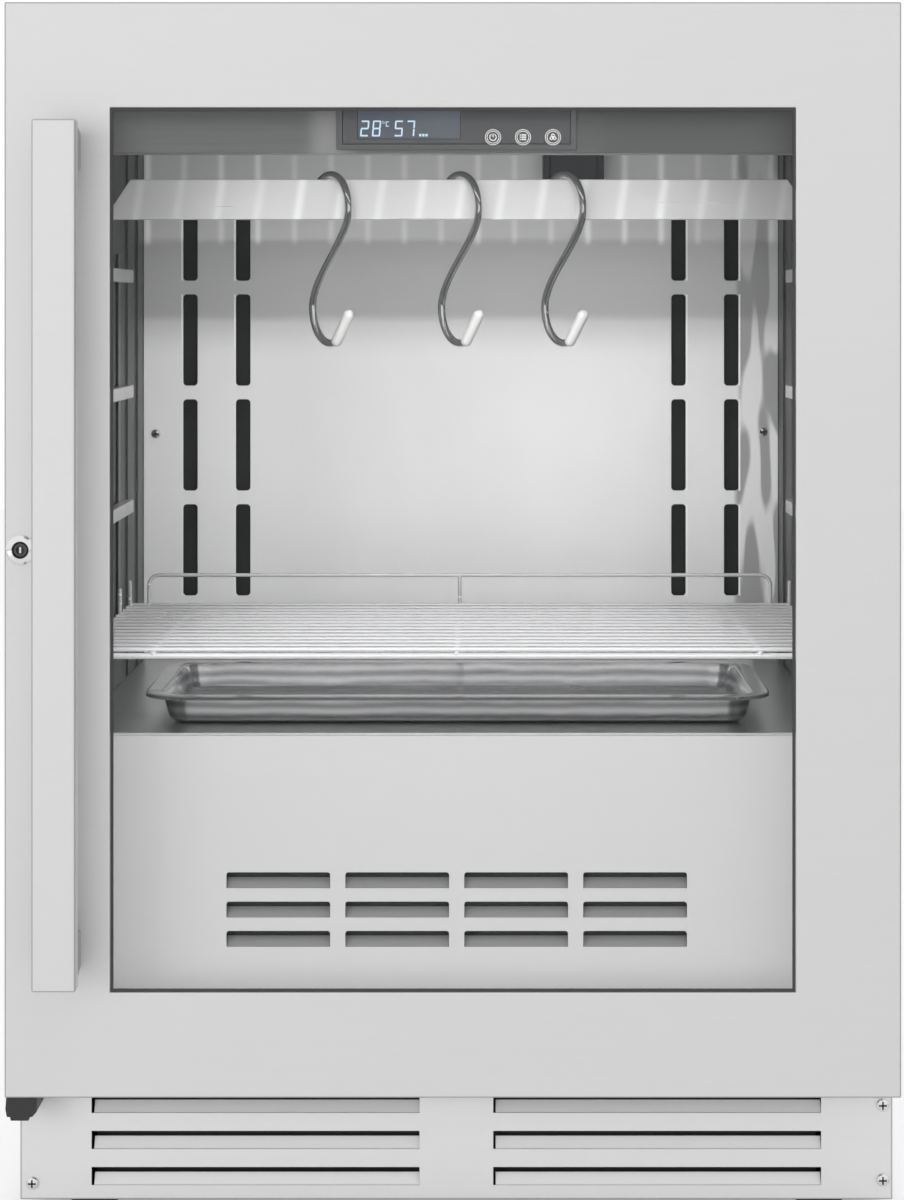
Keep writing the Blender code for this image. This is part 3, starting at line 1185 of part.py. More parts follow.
def make_cooling(cabinet):
    half = EVAPORATOR_WIDTH / 2
    evaporator_front = depth_y(LINER_BACK - GAP - EVAPORATOR_DEPTH)
    fan_height = CHAMBER_TOP - CHAMBER_FAN_DROP
    evaporator_top = fan_height - CHAMBER_FAN_SIZE / 2 - EVAPORATOR_TOP_SPACE
    fin_block("evaporator", side_x(-half), side_x(half), evaporator_front, EVAPORATOR_DEPTH,
              FLOOR_TOP + EVAPORATOR_RISE, evaporator_top, cabinet)
    make_fan("chamber_fan", (side_x(0), fan_height), depth_y(LINER_BACK - GAP), CHAMBER_FAN_SIZE, cabinet)
    condenser_top = BAY_FLOOR + CONDENSER_HEIGHT
    fin_block("condenser", side_x(CONDENSER_LEFT), side_x(CONDENSER_RIGHT), depth_y(CONDENSER_FRONT),
              CONDENSER_DEPTH, BAY_FLOOR, condenser_top, cabinet)
    fan_back = CONDENSER_FRONT + CONDENSER_DEPTH + MACHINE_FAN_SPACE + FAN_THICKNESS
    make_fan("machine_fan", (side_x(CONDENSER_MIDDLE), BAY_FLOOR + MACHINE_FAN_SIZE / 2), depth_y(fan_back),
             MACHINE_FAN_SIZE, cabinet)
    middle = (side_x(COMPRESSOR_FROM_SIDE - CABINET_HALF), depth_y(SHELL_BACK - COMPRESSOR_FROM_BACK))
    radius, shoulder = COMPRESSOR_RADIUS, COMPRESSOR_SHOULDER
    floor, top = COMPRESSOR_PLATE / 2, COMPRESSOR_HEIGHT
    profile = [(0, floor), (radius - shoulder / 2, floor), (radius, shoulder / 2), (radius, top - shoulder),
               (radius - shoulder / 3, top - shoulder / 3), (COMPRESSOR_TOP_RADIUS, top), (0, top)]
    compressor = add_object("compressor", turned(profile, (*middle, BAY_FLOOR)), "black_paint", cabinet)
    plate = block((middle[0] - COMPRESSOR_PLATE_HALF, middle[0] + COMPRESSOR_PLATE_HALF),
                  (middle[1] - radius, middle[1] + radius), (BAY_FLOOR, BAY_FLOOR + COMPRESSOR_PLATE))
    boolean(compressor, "plate", plate, "UNION")
    smooth(compressor)
    start = Vector((*middle, BAY_FLOOR + COMPRESSOR_HEIGHT + GAP))
    header_depth = CONDENSER_FRONT + CONDENSER_DEPTH * (1 + FIN_CUT_SHARE) / 2
    end = Vector((side_x(CONDENSER_MIDDLE), depth_y(header_depth), condenser_top + GAP))
    up = Vector((0, 0, PIPE_BEND))
    across = (end - start).to_2d().normalized().to_3d() * PIPE_BEND
    top = start.z + PIPE_RISE
    first = arc(Vector((start.x, start.y, top)) - up + across, -across, up, 0, math.pi / 2, BEND_STEPS)
    last = arc(Vector((end.x, end.y, top)) - up - across, up, across, 0, math.pi / 2, BEND_STEPS)
    pipe = tube([start, *first, *last, end], PIPE_RADIUS, TUBE_RESOLUTION)
    smooth(add_object("discharge_pipe", pipe, "copper", cabinet))


def make_power_box(cabinet):
    left = side_x(-CABINET_HALF + SHELL_SHEET + POWER_BOX_GAP)
    back = depth_y(SHELL_BACK - INLET_DEEP - POWER_BOX_GAP)
    box = block((left, left + POWER_BOX_WIDTH), (back - POWER_BOX_LENGTH, back),
                (BAY_FLOOR, BAY_FLOOR + POWER_BOX_HEIGHT))
    add_object("power_box", box, "black_plastic", cabinet)


def main():
    for item in list(bpy.data.objects):
        bpy.data.objects.remove(item, do_unlink=True)
    cabinet = add_empty("cabinet_axis", (CABINET_SHIFT, 0, 0))
    door = add_empty("door_pivot", (PIVOT_X, depth_y(PIVOT_DEPTH), DOOR_MIDDLE))
    lock = add_empty("lock_axis", (LOCK_X, depth_y(0), DOOR_MIDDLE))
    shelf = add_empty("shelf_slide", (CABINET_SHIFT, depth_y(SHELF_FRONT), CROSS_Z))
    tray = add_empty("tray_slide", (CABINET_SHIFT, depth_y(TRAY_FRONT), FLOOR_TOP))
    for make in (make_door_frame, make_inner_frame, make_glazing, make_gasket, make_handle, make_bushes):
        make(door)
    make_lock(door, lock)
    for make in (make_hinges, make_keeper, make_shell, make_front_frame, make_liner, make_covers,
                 make_inlet, make_plinth, make_fascia, make_lamp, make_sensor, make_back_panel,
                 make_lower_panels, make_shelf_supports, make_rail, make_cooling, make_power_box):
        make(cabinet)
    make_feet()
    make_shelf(shelf)
    make_tray(tray)
    for number, offset in enumerate(HOOK_PLACES, 1):
        make_hook(number, offset)


main()
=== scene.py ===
"""Looks of an undercounter dry aging cabinet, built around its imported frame.

Metres, +Z up, the door faces -Y. Pieces are placed by the boxes of the frame's own nodes.
"""

import json
import math

import bmesh
import bpy
from bpy.props import FloatProperty, FloatVectorProperty, IntProperty, PointerProperty
from mathutils import Matrix, Vector


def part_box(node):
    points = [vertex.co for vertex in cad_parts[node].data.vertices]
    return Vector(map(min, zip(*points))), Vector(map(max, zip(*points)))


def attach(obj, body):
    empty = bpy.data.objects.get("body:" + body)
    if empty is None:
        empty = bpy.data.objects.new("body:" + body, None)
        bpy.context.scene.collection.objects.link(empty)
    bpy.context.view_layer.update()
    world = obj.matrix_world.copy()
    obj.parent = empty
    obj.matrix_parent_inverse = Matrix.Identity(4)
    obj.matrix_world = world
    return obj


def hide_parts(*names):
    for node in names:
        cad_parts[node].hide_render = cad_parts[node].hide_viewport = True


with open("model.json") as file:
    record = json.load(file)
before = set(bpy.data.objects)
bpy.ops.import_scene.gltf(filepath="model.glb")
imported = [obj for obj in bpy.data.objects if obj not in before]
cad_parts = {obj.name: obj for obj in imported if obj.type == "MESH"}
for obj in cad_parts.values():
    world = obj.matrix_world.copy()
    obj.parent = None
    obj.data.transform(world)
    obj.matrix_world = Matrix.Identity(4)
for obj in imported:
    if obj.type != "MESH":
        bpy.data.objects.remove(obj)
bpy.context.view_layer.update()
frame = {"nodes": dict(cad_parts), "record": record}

bl_info = {
    "name": "Dry aging cabinet looks",
    "version": (1, 0, 0),
    "blender": (4, 5, 0),
    "location": "View3D > Sidebar > Cabinet",
    "description": "Dresses the frame of an undercounter dry aging cabinet",
    "category": "Object",
}

# Facts of the frame
NODES = frame["nodes"]
RECORD = frame["record"]
BODY_OF = {node: body for body, nodes in RECORD["behaviour"]["bodies"].items() for node in nodes}
JOINT_AT = {joint["name"]: Vector(joint["pos_m"]) for joint in RECORD["behaviour"]["joints"]
            if "pos_m" in joint}

# Mesh limits: doubles, flat faces, edges that get rounded and edges that stay sharp
MERGE = 0.00001
FLAT_ANGLE = math.radians(0.5)
EDGE_ANGLE = math.radians(30)
SMOOTH_ANGLE = math.radians(32)

# Thickness of print, and the fit between two pieces
SKIN = 0.0001
FIT = 0.0003

# Camera, from the photograph's vanishing point and the door's width in its frame
PHOTO_WIDTH = 904
PHOTO_HEIGHT = 1200
VANISHING_X = 480
VANISHING_Y = 305
CAMERA_PLACE = (0.018, -1.995, 0.619)
FOCAL_PIXELS = 2638.3
SENSOR = 36.0


def low_of(node):
    """A node's lowest corner."""
    return Vector(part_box(node)[0])


def high_of(node):
    """A node's highest corner."""
    return Vector(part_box(node)[1])


def middle_of(node):
    """The middle of a node's box."""
    return (low_of(node) + high_of(node)) / 2


def on_plane(pixel_x, pixel_y, y):
    """The point of the upright plane at a world Y that a pixel of the photograph shows."""
    eye = Vector(CAMERA_PLACE)
    reach = (y - eye.y) / FOCAL_PIXELS
    return (eye.x + (pixel_x - VANISHING_X) * reach, y, eye.z - (pixel_y - VANISHING_Y) * reach)


# Middle of the chamber in X, to the micrometre, and the thickness of its side walls
MIDDLE = round(middle_of("inner_liner").x, 6)
LINER_SHEET = 0.0008


# Settings that a user would change

class SteelSettings(bpy.types.PropertyGroup):
    satin: FloatVectorProperty(
        name="Satin steel", description="Colour of the door, the plinth and the outer cabinet",
        subtype="COLOR", size=3, min=0, max=1, default=(0.70, 0.70, 0.70))
    brushed: FloatVectorProperty(
        name="Brushed steel", description="Colour of the chamber's steel",
        subtype="COLOR", size=3, min=0, max=1, default=(0.66, 0.66, 0.66))
    dark: FloatVectorProperty(
        name="Dark steel", description="Colour of the control fascia",
        subtype="COLOR", size=3, min=0, max=1, default=(0.165, 0.165, 0.165))
    wall: FloatVectorProperty(
        name="Side walls", description="Colour of the chamber's side walls",
        subtype="COLOR", size=3, min=0, max=1, default=(0.085, 0.085, 0.085))
    chrome: FloatVectorProperty(
        name="Chrome", description="Colour of the wires, hooks and lock",
        subtype="COLOR", size=3, min=0, max=1, default=(0.78, 0.78, 0.79))
    edge: FloatProperty(
        name="Sheet edge", description="Radius of the edges of folded sheet steel",
        unit="LENGTH", min=0.0001, max=0.002, default=0.0005)


class WireSettings(bpy.types.PropertyGroup):
    shelf_wires: IntProperty(
        name="Shelf wires", description="Number of wires across the shelf", min=8, max=40, default=15)
    shelf_wire: FloatProperty(
        name="Shelf wire", description="Radius of the wires of the shelf",
        unit="LENGTH", min=0.001, max=0.003, default=0.0015)
    frame_wire: FloatProperty(
        name="Frame wire", description="Radius of the wires that carry the shelf",
        unit="LENGTH", min=0.001, max=0.004, default=0.0022)
    guard_bend: FloatProperty(
        name="Guard bend", description="Radius of the bends of the shelf's rear guard",
        unit="LENGTH", min=0.002, max=0.02, default=0.008)
    hook_wire: FloatProperty(
        name="Hook wire", description="Radius of the wire of the hooks",
        unit="LENGTH", min=0.002, max=0.004, default=0.003)
    hook_tip: FloatProperty(
        name="Hook tip", description="Radius of the white sleeve on each hook's point",
        unit="LENGTH", min=0.003, max=0.006, default=0.0042)


class DisplaySettings(bpy.types.PropertyGroup):
    temperature: IntProperty(
        name="Temperature", description="Degrees shown on the display", min=0, max=99, default=28)
    humidity: IntProperty(
        name="Humidity", description="Relative humidity shown on the display", min=0, max=99, default=57)
    digit_height: FloatProperty(
        name="Digit height", description="Height of the lit digits",
        unit="LENGTH", min=0.005, max=0.02, default=0.0108)
    key_radius: FloatProperty(
        name="Key radius", description="Radius of the rings round the touch keys",
        unit="LENGTH", min=0.003, max=0.008, default=0.0052)
    lit: FloatVectorProperty(
        name="Lit digits", description="Colour of the lit digits",
        subtype="COLOR", size=3, min=0, max=1, default=(0.62, 0.82, 1.0))


class CabinetSettings(bpy.types.PropertyGroup):
    steel: PointerProperty(type=SteelSettings)
    wire: PointerProperty(type=WireSettings)
    display: PointerProperty(type=DisplaySettings)


def settings():
    """The settings of the scene."""
    return bpy.context.scene.cabinet_looks


# Shader maths and materials

class Value:
    """A socket in a shader that takes part in sums; each sum adds a Math node."""

    def __init__(self, board, socket):
        self.board = board
        self.socket = socket

    def maths(self, operation, *values):
        sockets = {number: value for number, value in enumerate(values)}
        return self.board.node("ShaderNodeMath", {"operation": operation}, sockets)

    def __add__(self, other):
        return self.maths("ADD", self, other)

    __radd__ = __add__

    def __sub__(self, other):
        return self.maths("SUBTRACT", self, other)

    def __rsub__(self, other):
        return self.maths("SUBTRACT", other, self)

    def __mul__(self, other):
        return self.maths("MULTIPLY", self, other)

    __rmul__ = __mul__

    def __truediv__(self, other):
        return self.maths("DIVIDE", self, other)

    def __pow__(self, other):
        return self.maths("POWER", self, other)

    def cosine(self):
        return self.maths("COSINE", self)

    def at_least(self, other):
        return self.maths("MAXIMUM", self, other)

    def magnitude(self):
        return self.maths("ABSOLUTE", self)

    def fraction(self):
        return self.maths("FRACT", self)

    def rise(self, start, end):
        """0 before start and 1 after end, smooth between them."""
        sockets = {"Value": self, "From Min": start, "From Max": end}
        return self.board.node("ShaderNodeMapRange", {"interpolation_type": "SMOOTHSTEP"}, sockets)


class Board:
    """The nodes of one material, with a Principled shader that they feed."""

    def __init__(self, name, **sockets):
        self.look = bpy.data.materials.new(name)
        self.look.use_nodes = True
        self.tree = self.look.node_tree
        self.shader = self.tree.nodes["Principled BSDF"]
        self.feed(**sockets)

    def plug(self, node, sockets):
        for key, value in sockets.items():
            if isinstance(value, Value):
                self.tree.links.new(value.socket, node.inputs[key])
            else:
                node.inputs[key].default_value = value

    def node(self, kind, facts, sockets, output=0):
        """Add a node: its settings first, then the values or links of its sockets."""
        node = self.tree.nodes.new(kind)
        for key, value in facts.items():
            setattr(node, key, value)
        self.plug(node, sockets)
        return Value(self, node.outputs[output])

    def feed(self, **sockets):
        """Set or link the shader's own sockets; an underscore stands for a space."""
        self.plug(self.shader, {key.replace("_", " "): value for key, value in sockets.items()})

    def place(self):
        return self.node("ShaderNodeTexCoord", {}, {}, "Object")

    def axis(self, name):
        return self.node("ShaderNodeSeparateXYZ", {}, {"Vector": self.place()}, name)

    def noise(self, stretch, detail=2.0, scale=1.0):
        """Noise on the object's own coordinates, with a stretch for each axis."""
        moved = self.node("ShaderNodeMapping", {}, {"Vector": self.place(), "Scale": stretch})
        return self.node("ShaderNodeTexNoise", {}, {"Vector": moved, "Scale": scale, "Detail": detail})

    def blend(self, share, first, second):
        """A colour between two, by a share."""
        colours = {0: share, 6: tinted(first), 7: tinted(second)}
        return self.node("ShaderNodeMix", {"data_type": "RGBA"}, colours, 2)

    def bump(self, height, distance):
        sockets = {"Height": height, "Distance": distance}
        self.feed(Normal=self.node("ShaderNodeBump", {}, sockets))


def tinted(colour):
    """A colour with its alpha, or a link left as it is."""
    return colour if isinstance(colour, Value) else (*colour, 1.0)


def shade(colour, factor):
    """A colour made lighter or darker."""
    return tuple(min(1.0, channel * factor) for channel in colour)


WHITE = (1.0, 1.0, 1.0)

# Streaks of a brushed sheet, and the finish of the satin sheets
ALONG_X = (5.0, 420.0, 420.0)
ALONG_Z = (420.0, 420.0, 5.0)
SATIN_ROUGHNESS = 0.42
SATIN_METALLIC = 0.55
SATIN_CONTRAST = 0.025
SATIN_DEPTH = 0.000004

# Painted shade: the grey line painted round the front edge of the door, the handle and the plinth, its
# width and its tone
PAINTED_RIM_WIDTH = 0.0013
PAINTED_RIM_SHADE = 0.55

# Painted highlight: a lighter band at the left of the fascia's module; painted shade: its duller right
# side; both in X
FASCIA_HIGHLIGHT = (-0.104, -0.088, -0.080, -0.060)
FASCIA_SHADED_RIGHT = (0.05, 0.12)

# Bands of lamp light on the duct cover and the rail: their pitch, where they start, and how
# far down they reach or how they lean
LED_PITCH = 0.0306
DUCT_BAND_START = 0.0162
DUCT_BAND_FOOT = (0.667, 0.673)
RAIL_BAND_START = 0.0035
RAIL_BAND_LEVEL = 0.70
RAIL_SLANT = 0.15

# Painted light on the duct cover: a painted shadow of the rail across its top in Z, a painted highlight
# at its left and a painted warped reflection at its right in X
DUCT_RAIL_SHADOW = (0.572, 0.616)
DUCT_BRIGHT_LEFT = (-0.20, -0.12)
DUCT_WARPED_REFLECTION = (0.228, 0.234)

# Slots of the duct cover, with a painted highlight on the lip along the outer side of each
DUCT_SLOT_FROM_WALL = 0.0333
DUCT_SLOT_SPACE = 0.044
DUCT_SLOT_RISE = 0.0532
DUCT_SLOT_PITCH = 0.0876
DUCT_SLOT_HEIGHT = 0.0762
DUCT_SLOT_TOP = 0.7195
DUCT_SLOT_FADE = 0.002
DUCT_LIP_HIGHLIGHT = 0.0018

# How far the posts of the shelf supports stand off the wall, for their painted shade, and the pitch of
# the painted reflection bands of the drip tray
POST_SHEET = (0.0016, 0.0018)
TRAY_REFLECTION_BAND = 0.008

# Plain brushed sheets: name, settings colour and share of it, roughness, metallic, streaks,
# contrast and depth
SHEETS = {
    "satin": ("satin steel", "satin", 1.0, SATIN_ROUGHNESS, SATIN_METALLIC, ALONG_X, SATIN_CONTRAST,
              SATIN_DEPTH),
    "chamber": ("chamber steel", "brushed", 1.0, 0.30, 0.95, ALONG_X, 0.05, 0.00001),
    "panel": ("vented panel steel", "satin", 1.0, 0.45, 0.25, ALONG_X, 0.025, 0.00001),
    # Louvres and handle standoffs: the satin steel at half its tone, as painted shade
    "louvre": ("louvre steel", "satin", 0.5, 0.45, 0.4, ALONG_X, 0.03, 0.00001),
    "wire": ("plated wire", "chrome", 1.05, 0.26, 0.6, ALONG_X, 0.05, 0.00001),
    "wall": ("liner steel", "wall", 1.0, 0.42, 0.5, ALONG_Z, 0.25, 0.00001),
}


def steel(name, colour, roughness, metallic, grain=ALONG_X, contrast=0.05, depth=0.00001):
    """Brushed sheet: streaks along one axis in colour, roughness and bump, over broad soft clouds."""
    board = Board(name, Metallic=metallic)
    streaks = board.noise(grain, 3.0)
    fine = board.noise(tuple(3 * share for share in grain))
    clouds = board.noise((1.0,) * 3, scale=7.0)
    share = streaks * 0.5 + fine * 0.25 + clouds * 0.25
    board.feed(Base_Color=board.blend(share, shade(colour, 1 - contrast), shade(colour, 1 + contrast)))
    board.feed(Roughness=roughness * 0.8 + streaks * (roughness * 0.4))
    board.bump(streaks + fine * 0.5, depth)
    return board


def sheet_look(key):
    """A plain brushed sheet from the table."""
    name, tone, share, *finish = SHEETS[key]
    return steel(name, shade(getattr(settings().steel, tone), share), *finish).look


def edge_shaded_steel(node, factor=1.0, metallic=SATIN_METALLIC):
    """Satin steel with painted shade: a thin grey line painted round a node's front edge."""
    colour = shade(settings().steel.satin, factor)
    board = steel(node + " steel", colour, SATIN_ROUGHNESS, metallic, contrast=SATIN_CONTRAST,
                  depth=SATIN_DEPTH)
    low, high = low_of(node), high_of(node)
    x, y, z = (board.axis(name) for name in "XYZ")
    inside = 1.0
    for value, start, end in ((x, low.x, high.x), (z, low.z, high.z)):
        first, last = value.rise(start + PAINTED_RIM_WIDTH / 2, start + PAINTED_RIM_WIDTH), value.rise(end - PAINTED_RIM_WIDTH, end - PAINTED_RIM_WIDTH / 2)
        inside = inside * first * (1.0 - last)
    # Painted shade along the front edge
    rim = (1.0 - inside) * (1.0 - y.rise(low.y + PAINTED_RIM_WIDTH / 2, low.y + PAINTED_RIM_WIDTH))
    streaks = board.noise(ALONG_X, 3.0)
    body = board.blend(streaks, shade(colour, 0.98), shade(colour, 1.02))
    board.feed(Base_Color=board.blend(rim, body, shade(colour, PAINTED_RIM_SHADE)))
    return board.look


def dark_steel():
    """The fascia: brushed along X, with a painted highlight at the left of its module and painted shade
    at its right.
    """
    colour = settings().steel.dark
    board = steel("dark brushed steel", colour, 0.36, 0.7, contrast=0.3)
    streaks = board.noise(ALONG_X, 3.0)
    body = board.blend(streaks, shade(colour, 0.75), shade(colour, 1.25))
    x = board.axis("X")
    # Painted shade on the right side
    side = board.blend(x.rise(*FASCIA_SHADED_RIGHT), body, shade(colour, 0.78))
    # Painted highlight at the left of the module
    painted_highlight = x.rise(*FASCIA_HIGHLIGHT[:2]) * (1.0 - x.rise(*FASCIA_HIGHLIGHT[2:]))
    board.feed(Base_Color=board.blend(painted_highlight, side, shade(colour, 1.7)))
    return board.look


def lamp_bands(place, start, sharpness):
    """Bright bands at the pitch of the lamp strip's lights."""
    return ((place - start) * (math.tau / LED_PITCH)).cosine().at_least(0.0) ** sharpness


def back_steel():
    """The duct cover, painted lighter than the chamber steel: upright bands of painted lamp reflection,
    painted highlights on the lips of its slots, a painted shadow of the rail at its top, a painted
    highlight at its left and a painted warped reflection at its right.
    """
    # Painted lighter than the chamber steel, as painted light
    colour = shade(settings().steel.brushed, 1.32)
    board = steel("duct cover steel", colour, 0.36, 0.20, contrast=0.06)
    x, z = board.axis("X"), board.axis("Z")
    patches = 0.45 + board.noise((30.0, 1.0, 2.0), 1.0).rise(0.42, 0.60) * 0.45
    # Painted reflection of the lamp strip's lights, in upright bands
    glow = lamp_bands(x, DUCT_BAND_START, 6.0) * patches * z.rise(*DUCT_BAND_FOOT)
    clouds = board.noise((5.0, 1.0, 3.0), 3.0, scale=1.6)
    body = board.blend(clouds, shade(colour, 0.88), shade(colour, 1.12))
    # Painted highlight at the left
    body = board.blend((1.0 - x.rise(*DUCT_BRIGHT_LEFT)) * 0.5, body, WHITE)
    # Painted shadow of the rail across the top
    upper = board.blend(z.rise(*DUCT_RAIL_SHADOW), body, shade(colour, 0.72))
    # Painted warped reflection at the right
    painted_warped_reflection = board.noise((60.0, 1.0, 10.0), 1.0).rise(0.42, 0.50) * x.rise(*DUCT_WARPED_REFLECTION)
    edge = board.blend(painted_warped_reflection, upper, shade(colour, 0.45))
    # Painted highlights of the lamp bands and the slot lips, in white
    board.feed(Base_Color=board.blend(glow.at_least(slot_lip_highlights(x, z)), edge, WHITE))
    return board.look


def slot_lip_highlights(x, z):
    """1 on the painted highlight of the folded lip along the outer side of each slot of the duct cover.
    """
    outer = MIDDLE - (low_of("inner_liner").x + LINER_SHEET) - DUCT_SLOT_FROM_WALL
    across = (x - MIDDLE).magnitude()
    row = (z - (high_of("floor_panel").z + DUCT_SLOT_RISE)) / DUCT_SLOT_PITCH
    share = DUCT_SLOT_HEIGHT / DUCT_SLOT_PITCH
    along = 1.0 - row.fraction().rise(share - DUCT_SLOT_FADE, share)
    # Painted highlight on each slot's lip
    lip_highlights = 0.0
    for edge in (outer, outer - DUCT_SLOT_SPACE):
        end = edge + DUCT_LIP_HIGHLIGHT
        lip_highlights = lip_highlights + across.rise(edge, edge + FIT) * (1.0 - across.rise(end - FIT, end))
    return lip_highlights * along * (1.0 - z.rise(DUCT_SLOT_TOP, DUCT_SLOT_TOP + FIT))


def ladder_steel():
    """The shelf supports: ledges in the chamber steel, and posts that sit back against the wall painted
    in the wall's darker tone as painted shade.
    """
    colour = settings().steel.brushed
    board = steel("shelf support steel", colour, 0.30, 0.8)
    reach = MIDDLE - low_of("shelf_support_left").x
    near, far = POST_SHEET
    shaded_post = (board.axis("X") - MIDDLE).magnitude().rise(reach - far, reach - near)
    # Painted shade on the posts
    board.feed(Base_Color=board.blend(shaded_post, colour, shade(settings().steel.wall, 1.2)))
    return board.look


def rail_steel():
    """The hanging rail: painted lighter than the chamber steel, with leaning bands of painted lamp
    reflection.
    """
    # Painted lighter than the chamber steel, as painted light
    colour = shade(settings().steel.brushed, 1.14)
    board = steel("rail steel", colour, 0.30, 0.65, contrast=0.05)
    place = board.axis("X") - board.axis("Z") * RAIL_SLANT
    lamp_reflections = lamp_bands(place, RAIL_BAND_START - RAIL_BAND_LEVEL * RAIL_SLANT, 4.0)
    patches = 0.45 + board.noise((22.0, 1.0, 1.0), 1.0).rise(0.40, 0.62) * 0.55
    clouds = board.noise((9.0, 1.0, 6.0))
    body = board.blend(clouds, shade(colour, 0.85), shade(colour, 1.15))
    # Painted lamp reflections in white
    board.feed(Base_Color=board.blend(lamp_reflections * patches, body, WHITE))
    return board.look


def chrome_look():
    board = Board("chrome", Metallic=0.93)
    colour = settings().steel.chrome
    cloud = board.noise((60.0,) * 3)
    board.feed(Base_Color=board.blend(cloud, shade(colour, 0.9), shade(colour, 1.05)))
    board.feed(Roughness=0.05 + cloud * 0.07)
    return board.look


def tray_steel():
    """Pressed steel, polished, with the slight waves of the press, and painted reflections in light and
    dark bands along Z that the waves warp.
    """
    board = Board("pressed steel", Metallic=0.85)
    colour = settings().steel.chrome
    waves = board.noise((18.0, 30.0, 30.0))
    # Painted reflections: light and dark bands along Z
    painted_reflection_bands = ((board.axis("Z") + waves * 0.006) * (math.tau / TRAY_REFLECTION_BAND)).cosine() * 0.5 + 0.5
    share = painted_reflection_bands * 0.7 + waves * 0.3
    board.feed(Base_Color=board.blend(share, shade(colour, 0.42), shade(colour, 1.15)))
    board.feed(Roughness=0.10 + waves * 0.10)
    board.bump(waves, 0.0006)
    return board.look


def moulded(name, colour, roughness, texture=600.0, contrast=0.25):
    """Moulded plastic or rubber with a fine skin texture."""
    board = Board(name, Metallic=0.0)
    skin = board.noise((texture,) * 3)
    broad = board.noise((12.0,) * 3)
    board.feed(Base_Color=board.blend(broad, shade(colour, 1 - contrast), shade(colour, 1 + contrast)))
    board.feed(Roughness=roughness * 0.85 + skin * (roughness * 0.3))
    board.bump(skin, 0.00004)
    return board.look


def lit(name, colour, strength):
    """A surface that gives light, a little uneven like a moulded diffuser."""
    board = Board(name, Roughness=0.4, Emission_Strength=strength)
    uneven = board.noise((80.0,) * 3, 1.0)
    board.feed(Base_Color=board.blend(uneven, shade(colour, 0.25), shade(colour, 0.3)))
    board.feed(Emission_Color=board.blend(uneven, shade(colour, 0.88), colour))
    return board.look


def display_glass():
    """The unlit field of the display: slate blue, with a painted glow that grows lighter towards its
    right.
    """
    board = Board("display field", Roughness=0.18, Emission_Strength=0.9)
    x = board.axis("X").rise(-0.066, 0.006)
    uneven = board.noise((200.0,) * 3, 1.0)
    # Painted glow: the field's colour is also given out as light, lighter towards its right
    field = board.blend(x * 0.6 + uneven * 0.4, (0.030, 0.034, 0.044), (0.046, 0.050, 0.058))
    board.feed(Base_Color=field, Emission_Color=field)
    return board.look


def glass_look():
    """Clear glass with faint smears in its gloss."""
    board = Board("clear glass", Base_Color=(0.02, 0.03, 0.03, 1.0), Alpha=0.05, IOR=1.45)
    smears = board.noise((3.0, 3.0, 1.4), 3.0, scale=2.0)
    board.feed(Roughness=0.01 + smears * 0.03)
    board.look.surface_render_method = "BLENDED"
    return board.look


def copper_look():
    board = Board("copper", Metallic=1.0)
    tarnish = board.noise((50.0,) * 3, 3.0)
    board.feed(Base_Color=board.blend(tarnish, (0.60, 0.30, 0.18), (0.80, 0.46, 0.30)))
    board.feed(Roughness=0.22 + tarnish * 0.25)
    return board.look


# Other finishes
MAKERS = {
    "door": lambda: edge_shaded_steel("door_frame"),
    "handle": lambda: edge_shaded_steel("handle_bar"),
    # The plinth's satin steel is painted 1.12 times lighter, as painted light on the plinth set back
    # under the door
    "plinth": lambda: edge_shaded_steel("plinth", 1.12, 0.4),
    "ladder": ladder_steel,
    "dark": dark_steel,
    "back": back_steel,
    "rail": rail_steel,
    "chrome": chrome_look,
    "tray": tray_steel,
    "black": lambda: moulded("black plastic", (0.022, 0.022, 0.024), 0.42),
    "bezel": lambda: moulded("bezel plastic", (0.055, 0.055, 0.058), 0.38),
    "lens": lambda: moulded("smoked lens", (0.044, 0.044, 0.046), 0.10, contrast=0.1),
    "display": display_glass,
    "rubber": lambda: moulded("black rubber", (0.045, 0.045, 0.047), 0.7, 300.0),
    "seal": lambda: moulded("glazing seal", (0.042, 0.042, 0.044), 0.6, 300.0, 0.1),
    "white": lambda: moulded("white plastic", (0.47, 0.47, 0.46), 0.38, contrast=0.03),
    "foam": lambda: moulded("rigid foam", (0.78, 0.70, 0.50), 0.9, 150.0, 0.08),
    "aluminium": lambda: steel("aluminium", (0.72, 0.72, 0.73), 0.34, 1.0, ALONG_Z).look,
    "paint": lambda: moulded("black paint", (0.030, 0.030, 0.032), 0.45, 400.0),
    "glass": glass_look,
    "copper": copper_look,
    "lamp": lambda: lit("lamp diffuser", WHITE, 1.3),
    "digit": lambda: lit("lit digits", tuple(settings().display.lit), 0.62),
    # The printed key signs are given a painted glow
    "print": lambda: lit("white print", (0.92, 0.92, 0.92), 0.55),
}

# Materials that are made so far
MADE = {}


def look(name):
    """A material by its short name, made when it is first used."""
    if name not in MADE:
        MADE[name] = sheet_look(name) if name in SHEETS else MAKERS[name]()
    return MADE[name]


# Mesh helpers

def boxed(low, high):
    """A box between two corners."""
    bm = bmesh.new()
    bmesh.ops.create_cube(bm, size=1)
    low, high = Vector(low), Vector(high)
    bmesh.ops.scale(bm, vec=high - low, verts=bm.verts)
    bmesh.ops.translate(bm, vec=(low + high) / 2, verts=bm.verts)
    return bm


def joined(parts):
    """Several bmeshes as one."""
    whole = bmesh.new()
    for part in parts:
        mesh = bpy.data.meshes.new("part")
        part.to_mesh(mesh)
        part.free()
        whole.from_mesh(mesh)
        bpy.data.meshes.remove(mesh)
    return whole


